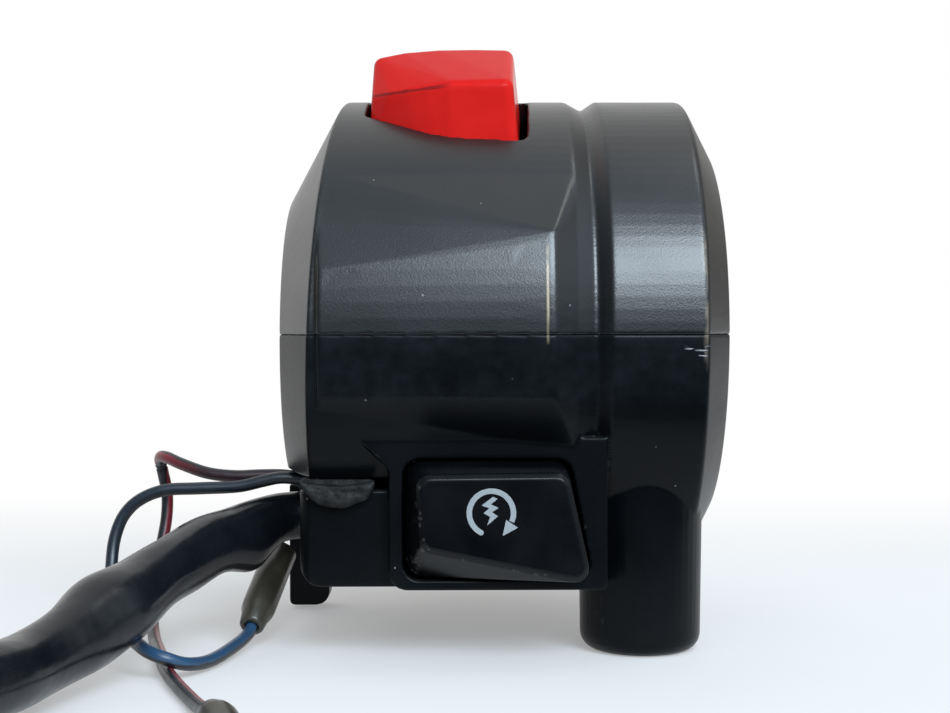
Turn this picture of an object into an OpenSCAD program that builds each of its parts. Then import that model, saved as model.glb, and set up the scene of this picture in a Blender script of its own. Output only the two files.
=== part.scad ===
// Right-hand handlebar switch cluster: a two-piece case that clamps round the bar, with an
// engine-stop rocker on top, a starter button in front, a throttle chamber and its cable boss.
// +X runs along the bar towards the grip, +Z is up and the rider looks along +Y. Millimetres.

/* [Case] */
// Diameter of the handlebar that the case clamps
bar_d = 22.2; // [22:0.1:23]
// Outer diameter of the barrel and of the throttle band
case_d = 55; // [54:0.5:58]
// Thickness of the moulded walls
wall = 2.4; // [2:0.1:2.8]
// Length of bar between the outer faces of the two clamp seats
clamp_len = 33; // [33:0.5:36]
// Thickness of the two end walls
end_wall = 2.5; // [2:0.1:3]
// Thickness of the wall between switch room and throttle chamber
seat_wall = 3; // [2.5:0.1:3.2]
// Diameter of the left cone where it reaches the left end face
left_face_d = 33.2; // [31:0.2:36]
// Length of the cone between left face and barrel
left_cone_len = 5.9; // [5.4:0.1:6.4]
// Angle by which the left cone is turned back on the rider's far side
cone_slant = 4.4; // [3:0.1:5]
// Angle by which it is tipped over at the top
cone_tip = 2.1; // [1:0.1:3]
// Diameter of the flat right end face
right_face_d = 43.2; // [40:0.2:46]
// Length of the cone between band and right face
right_cone_len = 3.2; // [2.5:0.1:4]
// Depth of the groove between barrel and band
groove_depth = 1.1; // [0.6:0.1:1.4]
// Width of the groove's slope on the barrel side
groove_slope = 2; // [1.5:0.1:2.4]
// Width of the groove's steep side on the band
groove_side = 1.6; // [1:0.1:2]
// Length of the throttle chamber
chamber_len = 12.8; // [12:0.1:15]
// Diameter of the opening for the throttle tube
throttle_d = 31; // [28:0.5:33]

/* [Front panel] */
// How far the front panel stands proud at its left end
panel_raise_left = 0.6; // [0.4:0.1:1]
// How far it stands proud at its right end
panel_raise_right = 2; // [1.6:0.1:2.4]
// Height of the upper crease at the left end
panel_top_left = 6.3; // [5:0.1:7]
// Height of the upper crease at the right end
panel_top_right = 10.6; // [9.5:0.1:11.5]
// Depth of the lower crease at the left end
panel_low_left = 6.4; // [6:0.1:7]
// Depth of the lower crease at the right end
panel_low_right = 6.5; // [6:0.1:7]

/* [Case screws] */
// Diameter of a case screw
screw_d = 4; // [3.5:0.1:4.2]
// Length of a case screw under its head
screw_len = 32; // [30:0.5:33]
// Diameter of a case screw's head
screw_head_d = 7.6; // [7:0.1:7.8]
// Height of a case screw's head
screw_head_h = 2.6; // [2:0.1:3]
// Distance of the front case screw from the left end
front_screw_in = 8.3; // [7.9:0.1:8.5]
// Place of the rear case screw along the bar
rear_screw_x = 3; // [0:0.5:6]
// How far both case screws stand in from the barrel's outside
screw_inset = 10; // [9.5:0.1:10.5]
// How far the screw heads' seats lie above the barrel's underside
seat_rise = 7; // [6.5:0.1:7.5]

/* [Throttle cable boss] */
// Outer diameter of the boss at its lower end
boss_d = 13.2; // [12:0.1:14]
// Draft of the boss, added to its diameter at the top
boss_draft = 0.6; // [0:0.1:1]
// Rounding of its lower edge
boss_round = 1.8; // [0.8:0.1:2.2]
// How far the boss stands in from the barrel's outside
boss_inset = 12; // [11.5:0.1:12.5]
// How far it reaches below the barrel
boss_drop = 7.2; // [6:0.1:8]
// Diameter of the socket for the cable's end fitting
socket_d = 8; // [6:0.1:9]
// Depth of that socket
socket_len = 13; // [8:0.5:13]
// Diameter of the hole for the inner cable
cable_hole_d = 3.2; // [2:0.1:4]

/* [Starter button] */
// How far the pod's front stays behind the barrel's outside
pod_inset = 2.3; // [1.9:0.1:2.5]
// How far the pod runs to the right, past the seat wall
pod_past = 1.9; // [1.7:0.1:2.1]
// Length of the pod along the bar
pod_len = 22.8; // [22.6:0.1:23]
// How far the pod's underside lies above the barrel's
pod_lift = 0.8; // [0.5:0.1:1.3]
// Thickness of the rim beside the button's opening
pod_rim = 1.4; // [1.2:0.05:1.5]
// Thickness of the rim under the button's opening
pod_sill = 1; // [0.9:0.05:1.2]
// Height of the button's opening
opening_h = 12.8; // [12.6:0.1:13]
// How far the opening's right side leans out at its foot
opening_lean = 2.5; // [2:0.1:2.8]
// Depth of the button's opening, front to floor
opening_depth = 7.5; // [7.2:0.1:7.8]
// Thickness of that floor
floor_wall = 2; // [1.6:0.1:2.4]
// Gap around the button in its opening
button_gap = 0.35; // [0.25:0.05:0.5]
// How far the button stands out of the pod
button_proud = 4; // [3.5:0.1:4.5]
// Travel of the button
button_travel = 3; // [2.4:0.1:3.2]
// Distance of the button's stem from the seat wall's outer face
stem_in = 11.3; // [11.1:0.1:11.7]
// Height of the stem above the pod's underside
stem_rise = 8.1; // [7.7:0.1:8.5]
// Width of the stem
stem_w = 6; // [5.6:0.1:6.4]
// Height of the stem
stem_h = 5.6; // [5.2:0.1:6]
// Sliding gap around the stem
stem_gap = 0.15; // [0.1:0.05:0.25]
// Outer diameter of the return spring
spring_d = 4; // [3.6:0.1:4.2]
// Wire diameter of both springs
spring_wire = 0.5; // [0.4:0.05:0.6]
// Thickness of the brass contacts
contact_t = 0.6; // [0.5:0.05:0.8]
// Thickness of both contact bases
base_t = 1.6; // [1.4:0.1:2]
// Distance from floor to starter contact base
base_gap = 6; // [5.6:0.1:6.4]
// Distance of the base screws from the stem
base_screw_x = 6.2; // [6.1:0.05:6.3]
// Diameter of the small base screws
base_screw_d = 2; // [1.8:0.1:2.2]

/* [Stop rocker] */
// Lean of the stop switch towards the rider
stop_lean = 18; // [15:0.5:20]
// Distance of the rocker's pivot from the seat wall's outer face
rocker_in = 14.95; // [14.8:0.05:15.1]
// Length of the rocker along the bar
rocker_len = 17.4; // [17:0.1:17.6]
// How far the rocker's pivot lies inside the barrel's outside
pivot_inset = 6.5; // [6.4:0.1:6.7]
// Diameter of the rocker's trunnions
trunnion_d = 3; // [2.6:0.1:3.2]
// Running gap around the trunnions
trunnion_gap = 0.05; // [0.03:0.01:0.08]
// Distance between the ears that carry the rocker
ear_span = 12.8; // [12.4:0.1:13]
// Thickness of an ear
ear_t = 1.6; // [1.4:0.1:1.8]
// Travel of the rocker, in degrees
rocker_travel = 8; // [6:0.5:8]
// Gap at the slot's left end, front and rear
slot_gap = 0.35; // [0.3:0.05:0.5]
// Gap at the slot's right end, where the rocker swings
slot_swing = 0.9; // [0.9:0.05:1.2]
// How far the contact base's upper face lies inside the barrel's outside
base_inset = 12.7; // [12.5:0.1:12.9]
// Diameter of the spring plunger
plunger_d = 2.4; // [2:0.1:2.6]

/* [Lead outlet] */
// Distance of the outlet's left side from the left end
outlet_in = 2.5; // [2.3:0.1:2.7]
// How far the outlet's front stays behind the barrel's outside
outlet_inset = 3.9; // [3.5:0.1:4.1]
// How far the outlet's underside lies above the barrel's
outlet_lift = 0.9; // [0.5:0.1:1.1]
// Height of the outlet, up to the barrel's lower edge over it
outlet_h = 11.4; // [11.2:0.1:11.6]
// Gap between that edge and the outlet, for the grommet's lip
outlet_gap = 1.2; // [1:0.1:1.4]
// Height above the outlet's underside at which the harness leaves
harness_rise = 5.8; // [5.6:0.1:6]
// Distance from the bar's axis at which the harness leaves
harness_y = 9; // [8.9:0.05:9.1]
// Width of the grommet's crescent lip
lip_w = 8.1; // [7.5:0.1:8.4]
// Height of the grommet's crescent lip
lip_h = 3; // [2.5:0.1:3.4]
// Width of the guide lug
lug_w = 5; // [4:0.1:5.5]
// Place of the guide lug's front face
lug_y = 7; // [6:0.5:8]
// Thickness of the guide lug
lug_t = 4.5; // [4:0.1:6]

/* [Leads] */
// Diameter of the harness sleeve
harness_d = 7; // [6.4:0.1:7.2]
// Diameter of the sleeve where it leaves the grommet
harness_neck_d = 5.4; // [5:0.1:5.6]
// Diameter of the single wires
wire_d = 1.4; // [1.2:0.1:1.6]
// Outer diameter of a bullet connector's sleeve
sleeve_d = 3.8; // [3.4:0.1:4]
// Length of a bullet connector's sleeve
sleeve_len = 12.5; // [11:0.5:13]
// Radius of the coiled harness at the start of its turn
coil_r = 38.5; // [37:0.5:40]
// Distance between neighbouring strands of the coil
coil_step = 8; // [7.8:0.1:8.5]
// Length of the harness plug
plug_len = 24; // [20:1:25]
// Width of the harness plug
plug_w = 12; // [11:0.5:13]
// Height of the harness plug
plug_h = 8; // [7:0.5:8]

/* [Hidden] */

round_fn = 96;
hull_fn = 24;
eps = 0.01;
far = 200;

// Stations along the bar
x_left = -clamp_len / 2;
x_seat = clamp_len / 2;
x_right = x_seat + chamber_len + end_wall;
x_band_end = x_right - right_cone_len;
x_groove = x_seat + 0.7;
x_barrel_end = x_groove - groove_slope;
x_band = x_groove + groove_side;
x_panel_end = x_barrel_end - 2.5;
x_boss = (x_seat + x_right - end_wall) / 2;

// Radii from the bar's axis
case_r = case_d / 2;
room_r = case_r - wall;
chamber_r = case_r - groove_depth - wall;

// Places that follow the case's size
front_screw_x = x_left + front_screw_in;
screw_y = case_r - screw_inset;
screw_seat = case_r - seat_rise;
boss_y = case_r - boss_inset;
boss_bottom = case_r + boss_drop;
pod_front = case_r - pod_inset;
pod_right = x_seat + pod_past;
pod_left = pod_right - pod_len;
pod_bottom = case_r - pod_lift;
opening_top = pod_bottom - pod_sill - opening_h;
stem_x = x_seat - stem_in;
stem_z = pod_bottom - stem_rise;
rocker_x = x_seat - rocker_in;
pivot_h = case_r - pivot_inset;
base_top = case_r - base_inset;
outlet_left = x_left + outlet_in;
outlet_front = case_r - outlet_inset;
outlet_bottom = case_r - outlet_lift;
outlet_top = outlet_bottom - outlet_h;
harness_z = outlet_bottom - harness_rise;
mouth = [outlet_left, -harness_y, -harness_z];

// Depths of the starter switch, front to back
floor_y = -pod_front + opening_depth;
floor_back = floor_y + floor_wall;
base_y = floor_back + base_gap;
seat_gap = 0.3;
button_back = floor_y - button_travel - seat_gap;
stem_back = floor_back + seat_gap;
plate_back = stem_back + contact_t;
post_front = plate_back + button_travel + seat_gap;
contact_span = 3.4;
base_half = base_screw_x + 1.4;
base_half_h = 3.9;

// Heights of the stop switch, outwards from the bar
base_low = base_top - base_t;
stop_span = 4.5;
blade_h = base_top + 1.3;
blade_t = 0.5;
blade_lean = rocker_travel / 2;
boss_reach = 2.2;
left_boss_x = rocker_x - rocker_len / 2 - slot_gap - boss_reach;
right_boss_x = x_seat - seat_wall - 2;
ear_w = trunnion_d + 1.6;

outlet_wall = 2;
plug_half = 3.3;
tag_t = 0.5;
starter_tag_y = base_y + base_t + tag_t;
stop_tag_v = -ear_span / 2 - ear_t - 0.2;
lead_end_x = outlet_left + 4.4;

screw_hole_gap = 0.15;
thread_gap = 0.05;
screw_bore_d = screw_d + 2 * screw_hole_gap;
boss_wall = 1.3;
counterbore_d = screw_head_d + 0.6;
floor_z = -boss_bottom;
tie_t = 0.5;
tie_gap = 0.3;
coil_z = floor_z + harness_d / 2 + tie_gap + tie_t + 0.1;
wire_floor = floor_z + wire_d / 2 + 0.1;
sleeve_floor = floor_z + sleeve_d / 2;

// One turn of the harness, wound inwards, then a short curl to the plug in the middle
coil_centre = [mouth.x - 70.5, mouth.y - 39.4, 0];
coil_angle = -40;
coil_rings = 24;
coil_last = coil_rings + 2;
curl_r = 18;
curl_turn = 110;
coil_heading = [sin(coil_angle), -cos(coil_angle), 0];
coil_start = coil_centre + coil_r * [cos(coil_angle), sin(coil_angle), 0] + [0, 0, coil_z];
coil_inner = coil_r - coil_step * coil_last / coil_rings;
close_angle = coil_angle - 360 * coil_last / coil_rings;
curl_centre = coil_centre + (coil_inner - curl_r) * [cos(close_angle), sin(close_angle), 0] + [0, 0, coil_z];
coil_points = [
    for (i = [0:coil_last])
        let (a = coil_angle - 360 * i / coil_rings, r = coil_r - coil_step * i / coil_rings)
        coil_centre + [r * cos(a), r * sin(a), coil_z]
];
curl_steps = 8;
curl_points = [
    for (i = [1:curl_steps])
        let (a = close_angle - curl_turn * i / curl_steps)
        curl_centre + curl_r * [cos(a), sin(a), 0]
];
plug_angle = close_angle - curl_turn;
plug_heading = [sin(plug_angle), -cos(plug_angle), 0];
plug_start = curl_points[curl_steps - 1] + harness_d * plug_heading;
coil_route = concat([coil_start - harness_d * coil_heading], coil_points, curl_points, [plug_start]);

// Route of the harness from inside the grommet to the coil, from the outlet's mouth
function from_mouth(points) = [for (p = points) mouth + p];
function on_floor(points, z) = [for (p = points) [mouth.x + p.x, mouth.y + p.y, z]];
harness_route = concat(
    [[lead_end_x, mouth.y, mouth.z]],
    from_mouth([
        [1, 0, 0], [-1.5, -0.1, 0], [-3.6, -0.9, -0.1], [-5.6, -2.6, -0.5], [-7.6, -5, -1.1],
        [-9.5, -8, -1.8], [-11.3, -11.2, -2.6], [-13, -14.5, -3.5], [-14.7, -18, -4.5],
        [-16.4, -21.6, -5.6], [-18.1, -25.1, -6.8], [-19.8, -28.8, -8.1], [-21.5, -32.4, -9.1]
    ]),
    on_floor([[-23.1, -36.4], [-24.8, -42.2]], coil_z),
    [for (back = [3, 2, 1]) coil_start - back * harness_d * coil_heading]
);
// Route of the blue-striped wire: a loop to the left, down and under the harness, then up
blue_route = concat(
    [[lead_end_x, mouth.y - 1.9, mouth.z + 4.3]],
    from_mouth([
        [1, -1.9, 4.3], [-1.5, -1.9, 4.4], [-3.5, -2, 4.5], [-5.5, -2, 4.1], [-8.3, -2, 3.5],
        [-12.8, -2, 3.3], [-16.6, -2, 3.1], [-19.4, -2, 2], [-21.2, -2, 0.2], [-22.1, -2.4, -2.2],
        [-22.3, -3.2, -4.8], [-22, -4.8, -7.4], [-21.1, -7.6, -9.4], [-19.5, -11.6, -10.4],
        [-17.7, -16, -10.5], [-15.9, -19.6, -10.6], [-14.4, -21.6, -11], [-12.5, -22.5, -11.5],
        [-10.7, -21, -12.4], [-9, -17.5, -12.9], [-7.4, -12.8, -12.6], [-6.2, -8.36, -11.93],
        [-5.78, -6.2, -10.55]
    ])
);
// Route of the red-striped wire: up and round at the back, then down and forward on the floor
red_route = concat(
    [[lead_end_x, mouth.y - 0.2, mouth.z + 4.3]],
    from_mouth([
        [1, -0.2, 4.3], [-1.5, -0.2, 4.4], [-3.5, -0.2, 4.6], [-6, -0.2, 4.6], [-8.8, -0.1, 4.5],
        [-12, 0.4, 4.8], [-15.2, 1.7, 5.7], [-17.5, 3.5, 6.4], [-18.6, 5.8, 6], [-18.6, 7.4, 4.2],
        [-18.2, 7.8, 1.6], [-18.2, 7.4, -1.2], [-18.5, 6.2, -4], [-18.8, 4.2, -6.8],
        [-18.6, 1.4, -9.6], [-18, -2, -12]
    ]),
    on_floor([[-16.9, -6.1], [-15.8, -10], [-14.6, -14.2], [-13.1, -19.7], [-10.8, -26.1],
        [-7.9, -33]], wire_floor),
    on_floor([[-6, -37.9]], wire_floor + 0.4),
    on_floor([[-4.7, -41.6], [-4.1, -43.4]], sleeve_floor)
);
// Leads inside the case, from the contacts' tags to the inner end of the harness
function lean(x, v, w) = [
    x, v * cos(stop_lean) - w * sin(stop_lean), v * sin(stop_lean) + w * cos(stop_lean)
];
function at_end(side, up, points) = [
    for (p = points) [lead_end_x, mouth.y + side, mouth.z + up] + p
];
lead_apart = 0.9;
tag_out = 1.6;
beside_screw = front_screw_x + screw_d / 2 + screw_hole_gap + boss_wall + wire_d / 2 + 0.25;
stop_lead_a = concat(
    [for (out = [0, tag_out]) lean(rocker_x - stop_span, stop_tag_v - out, base_low - tag_t / 2)],
    [[beside_screw + 0.2, -14.5, 7], [beside_screw, -14.7, 4], [beside_screw, -14.3, 0],
     [beside_screw, -13.9, -5]],
    at_end(-lead_apart, lead_apart, [[5.4, -3.1, 10.4], [4.4, -1.5, 6.3], [3, -0.4, 2.9], [2, 0, 0.9],
        [1, 0, 0], [0, 0, 0]])
);
stop_lead_b = concat(
    [for (out = [0, tag_out]) lean(rocker_x + stop_span, stop_tag_v - out, base_low - tag_t / 2)],
    [[beside_screw + 8.2, -14.8, 7.6], [beside_screw + 5.6, -15, 6], [beside_screw + 3.2, -14.8, 3.4],
     [beside_screw + 2, -14.4, 0], [beside_screw + 1.9, -14, -5]],
    at_end(lead_apart, lead_apart, [[7.2, -4.7, 10.3], [6.2, -2.3, 6.3], [4.6, -0.5, 2.9], [2.8, 0, 0.7],
        [1, 0, 0], [0, 0, 0]])
);
function at_starter_tag(side, points) = [
    for (p = points) [stem_x + side * contact_span, starter_tag_y, -stem_z] + p
];
starter_lead_a = concat(
    at_starter_tag(-1, [[0, 0, 0], [0, 1.4, 0], [-1.2, 2.4, -0.8], [-3.8, 1.8, -2]]),
    at_end(lead_apart, -lead_apart, [[5, 1.3, 0.3], [2.6, 0.3, 0], [1, 0, 0], [0, 0, 0]])
);
starter_lead_b = concat(
    at_starter_tag(1, [[0, 0, 0], [0, 1.4, 0], [-1.2, 2.8, -1.2], [-4.6, 3, -2.6], [-8, 2.2, -3.4]]),
    at_end(-lead_apart, -lead_apart, [[6.6, 2.4, -0.9], [3.6, 0.5, -0.9], [1, 0, 0], [0, 0, 0]])
);

// Vector and outline helpers
function unit(v) = v / norm(v);

// Points of a corner b between a and c, rounded to radius r by n chords
function corner(a, b, c, r, n) = r == 0 ? [b] :
    let (u = unit(a - b), v = unit(c - b), half = acos(u * v) / 2,
        centre = b + unit(u + v) * r / sin(half),
        from = b + u * r / tan(half) - centre, to = b + v * r / tan(half) - centre,
        start = atan2(from.y, from.x),
        turn = (atan2(to.y, to.x) - start + 540) % 360 - 180)
    [for (i = [0:n]) centre + r * [cos(start + turn * i / n), sin(start + turn * i / n)]];

// An outline with each corner rounded to its own radius
function rounded(points, radii, n = 4) = let (last = len(points) - 1) [
    for (i = [0:last])
        each corner(points[i == 0 ? last : i - 1], points[i], points[i == last ? 0 : i + 1], radii[i], n)
];

// A revolved solid about the bar's axis from an outline of [radius, station along the bar]
module along_bar(outline) {
    rotate([0, 90, 0])
        rotate_extrude($fn = round_fn)
            polygon(outline);
}

// Everything on the inner side of the plane through three points, seen anticlockwise from outside
module under_plane(a, b, c) {
    normal = unit(cross(b - a, c - a));
    translate(a)
        rotate([0, acos(normal.z), atan2(normal.y, normal.x)])
            translate([-far, -far, -2 * far])
                cube(2 * far);
}

// A prism with its outline in X and Z, reaching from front to back along Y
module upright(front, back, outline) {
    translate([0, back, 0])
        rotate([90, 0, 0])
            linear_extrude(back - front)
                polygon(outline);
}

module post(d, low, high) {
    translate([0, 0, low])
        cylinder(d = d, h = high - low, $fn = 48);
}

// Frames for swept tubes: the tangent at each point and a side vector carried along without twist
function tangent(p, i) = unit(p[min(i + 1, len(p) - 1)] - p[max(i - 1, 0)]);
function square_to(u, t) = unit(u - (u * t) * t);
function sides(p, i, u) = i == len(p) ? [] :
    let (v = square_to(u, tangent(p, i))) concat([v], sides(p, i + 1, v));

// One closed tube along route points p, with one radius per point and n sides
module tube(p, radii, n, first_side = [0, 0, 1]) {
    side = sides(p, 0, first_side);
    rings = len(p);
    points = [
        for (i = [0:rings - 1], k = [0:n - 1])
            let (t = tangent(p, i), u = side[i], w = cross(t, u), a = 360 * (k + 0.5) / n)
            p[i] + radii[i] * (cos(a) * u + sin(a) * w)
    ];
    loft(points, rings, n);
}

// One closed solid through rings of n points each
module loft(points, rings, n) {
    skin = [
        for (i = [0:rings - 2], k = [0:n - 1])
            let (a = i * n + k, b = i * n + (k + 1) % n)
            each [[a, b + n, b], [a, a + n, b + n]]
    ];
    start_cap = [for (k = [1:n - 2]) [0, k, k + 1]];
    last = (rings - 1) * n;
    end_cap = [for (k = [1:n - 2]) [last, last + k + 1, last + k]];
    polyhedron(points, concat(skin, start_cap, end_cap));
}

function even(p, r) = [for (point = p) r];
function along(p, i) = i == 0 ? 0 : norm(p[i] - p[i - 1]) + along(p, i - 1);
function least_gap(p, apart) = min([
    for (i = [0:len(p) - 1], j = [0:len(p) - 1])
        if (along(p, j) - along(p, i) > apart) norm(p[j] - p[i])
]);

// A compression spring along +Z, as one unbroken tube of eight rings a curl
module spring(d, length, curls) {
    r = (d - spring_wire) / 2;
    steps = 8 * curls;
    rise = (length - spring_wire) / steps;
    turns = [for (i = [0:steps]) [r * cos(45 * i), r * sin(45 * i), spring_wire / 2 + rise * i]];
    echo(spring_gap = least_gap(turns, 5 * r) - spring_wire);
    tube(turns, even(turns, spring_wire / 2), 6);
}

// Case: both halves are cut from one outer form
module case_form() {
    intersection() {
        union() {
            along_bar(rounded(
                [[0, x_left], [case_r, x_left],
                 [case_r, x_barrel_end], [case_r - groove_depth, x_groove], [case_r, x_band],
                 [case_r, x_band_end], [right_face_d / 2, x_right], [0, x_right]],
                [0, 0, 0.8, 0.5, 0.5, 0.8, 0.5, 0]));
            front_panel();
        }
        in_left_cone(0);
    }
}

// All that lies inside the slanted cone of the left end, drawn in by a skin
module in_left_cone(skin) {
    slope = left_cone_len / (case_r - left_face_d / 2);
    ahead = left_cone_len + 3;
    reach = x_right - x_left;
    translate([x_left + left_cone_len, 0, 0])
        rotate([0, cone_tip, -cone_slant])
            translate([skin * sqrt(1 + slope * slope) - ahead, 0, 0])
                rotate([0, 90, 0])
                    cylinder(r1 = case_r - ahead / slope, r2 = case_r + reach / slope, h = ahead + reach,
                        $fn = round_fn);
}

// Points on a panel crease, at radius r and height z, on the rider's side
function crease(x, r, z) = [x, -sqrt(r * r - z * z), z];

// Ring round all that lies under the upper crease: the barrel, a flat run that leaves it without a bend
// and ends at the crease, and open space below
panel_room = 14;
barrel_steps = 8;
function crease_ring(x, r, z) =
    let (slope = asin(z / r), under = case_r - 0.08, touch = slope + acos(under / r), top = 64,
        edge = crease(x, r, z), guard = edge + panel_room * [0, -sin(slope), -cos(slope)])
    concat(
        [for (i = [0:barrel_steps])
            let (a = top + (touch - top) * i / barrel_steps) [x, -under * cos(a), under * sin(a)]],
        [edge, guard, [x, guard.y, -case_r], [x, -under * cos(top), -case_r]]
    );

module front_panel() {
    left_r = case_r + panel_raise_left;
    right_r = case_r + panel_raise_right;
    x_start = x_left + left_cone_len - 1.1;
    rings = [
        crease_ring(x_start - 1, left_r, panel_top_left), crease_ring(x_panel_end, right_r, panel_top_right),
        crease_ring(x_barrel_end + 0.1, case_r + 0.1, panel_top_right + 2)
    ];
    intersection() {
        along_bar(rounded(
            [[room_r, x_start], [left_r, x_start], [right_r, x_panel_end],
             [case_r, x_barrel_end], [room_r, x_barrel_end]],
            [0, 0.4, 1, 0, 0]));
        hull()
            loft([for (ring = rings) each ring], len(rings), len(rings[0]));
        under_plane(crease(x_start, left_r, -panel_low_left),
            crease(x_panel_end, case_r, -panel_low_right - 5.5),
            crease(x_panel_end, right_r, -panel_low_right));
    }
}

// The hollow of the switch room, the throttle chamber, the two clamp seats and the throttle opening
module case_hollow() {
    room_left = x_left + end_wall;
    intersection() {
        along_bar([
            [0, room_left], [room_r, room_left], [room_r, x_seat - seat_wall], [0, x_seat - seat_wall]
        ]);
        in_left_cone(wall);
    }
    along_bar([
        [0, x_seat], [chamber_r, x_seat], [chamber_r, x_band_end - 1],
        [chamber_r - 2, x_right - end_wall], [0, x_right - end_wall]
    ]);
    translate([x_left - 1, 0, 0])
        rotate([0, 90, 0])
            cylinder(d = bar_d, h = clamp_len + 2, $fn = round_fn);
    translate([x_seat + eps, 0, 0])
        rotate([0, 90, 0])
            cylinder(d = throttle_d, h = far, $fn = round_fn);
}

module at_case_screws() {
    translate([front_screw_x, -screw_y, 0]) children();
    translate([rear_screw_x, screw_y, 0]) children();
}

// Slot outline of the stop rocker in plan: the rider's side runs out to the right
function rocker_plan(left, right, margin) = rounded(
    [[left, 6.2 + margin], [left, -4.2 - margin], [rocker_x - 1.2, -9 - margin],
     [right - 0.8, -10 - margin], [right, 6.2 + margin]],
    [1, 1.2, 0.7 * rocker_len, 1.2, 1]);

module in_stop_frame() {
    rotate([stop_lean, 0, 0]) children();
}

rocker_left = rocker_x - rocker_len / 2;
rocker_right = rocker_x + rocker_len / 2;

module upper_case() {
    screw_top = screw_len - screw_seat;
    color("#1b1d20")
    difference() {
        union() {
            difference() {
                case_form();
                case_hollow();
            }
            // screw bosses and the two posts of the stop switch
            intersection() {
                case_form();
                union() {
                    at_case_screws() post(screw_bore_d + 2 * boss_wall, 0, case_r);
                    in_stop_frame() {
                        translate([left_boss_x, 0, 0]) post(2 * boss_reach, base_top, case_r - 1);
                        translate([right_boss_x, 0, 0]) post(2 * boss_reach, base_top, pivot_h - 0.5);
                    }
                }
            }
        }
        translate([-far, -far, -2 * far]) cube(2 * far);
        in_stop_frame() {
            translate([0, 0, pivot_h])
                linear_extrude(far)
                    polygon(rocker_plan(rocker_left - slot_gap, rocker_right + slot_swing, slot_gap));
            for (x = [left_boss_x, right_boss_x])
                translate([x, 0, 0]) post(base_screw_d + 2 * thread_gap, base_top - 1, base_top + 4);
        }
        at_case_screws() post(screw_d + 2 * thread_gap, -1, screw_top + 0.5);
    }
}

// Opening of the starter pod: its right side leans out at the foot
function opening(margin) = rounded(
    [[pod_left + pod_rim + margin, -opening_top - margin],
     [pod_right - pod_rim - opening_lean - margin, -opening_top - margin],
     [pod_right - pod_rim - margin, -pod_bottom + pod_sill + margin],
     [pod_left + pod_rim + margin, -pod_bottom + pod_sill + margin]],
    [1.8, 1.8, 1.8, 1.8]);

module starter_pod() {
    upright(-pod_front, -6, rounded(
        [[pod_left - 3.4, -opening_top + 2.1], [pod_left, -opening_top - 1], [pod_left, -pod_bottom],
         [pod_right, -pod_bottom], [pod_right, -opening_top + 2.1]],
        [0, 1.5, 1.8, 0.5, 0]));
}

// The block at the lower left that the leads come out of, with its front corner rounded
module outlet_block() {
    intersection() {
        upright(-outlet_front, -3, rounded(
            [[outlet_left, -outlet_top - outlet_gap], [outlet_left, -outlet_bottom],
             [pod_left + 1, -outlet_bottom], [pod_left + 1, -outlet_top - outlet_gap]],
            [0, 2.4, 0, 0]));
        translate([0, 0, -far])
            linear_extrude(far)
                polygon(rounded(
                    [[outlet_left, -3], [outlet_left, -outlet_front],
                     [pod_left + 1, -outlet_front], [pod_left + 1, -3]],
                    [0, 1.6, 0, 0]));
    }
}

module cable_boss() {
    boss_top = boss_bottom - case_r / 2;
    translate([x_boss, -boss_y, floor_z])
        rotate_extrude($fn = round_fn)
            polygon(rounded(
                [[0, 0], [boss_d / 2, 0], [(boss_d + boss_draft) / 2, boss_top], [0, boss_top]],
                [0, boss_round, 0, 0]));
}

// A small lug under the left end that the leads are tied to
module guide_lug() {
    lug_x = x_left - 2;
    lug_top = -outlet_top - 3.8;
    lug_low = -outlet_bottom - 7.6;
    upright(lug_y, lug_y + lug_t, rounded(
        [[lug_x, lug_top], [lug_x, lug_low], [lug_x + lug_w, lug_low], [lug_x + lug_w, lug_top - lug_w],
         [lug_x + 1.6 * lug_w, lug_top]],
        [0, 0.6, 1.6, 0, 0]));
}

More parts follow.
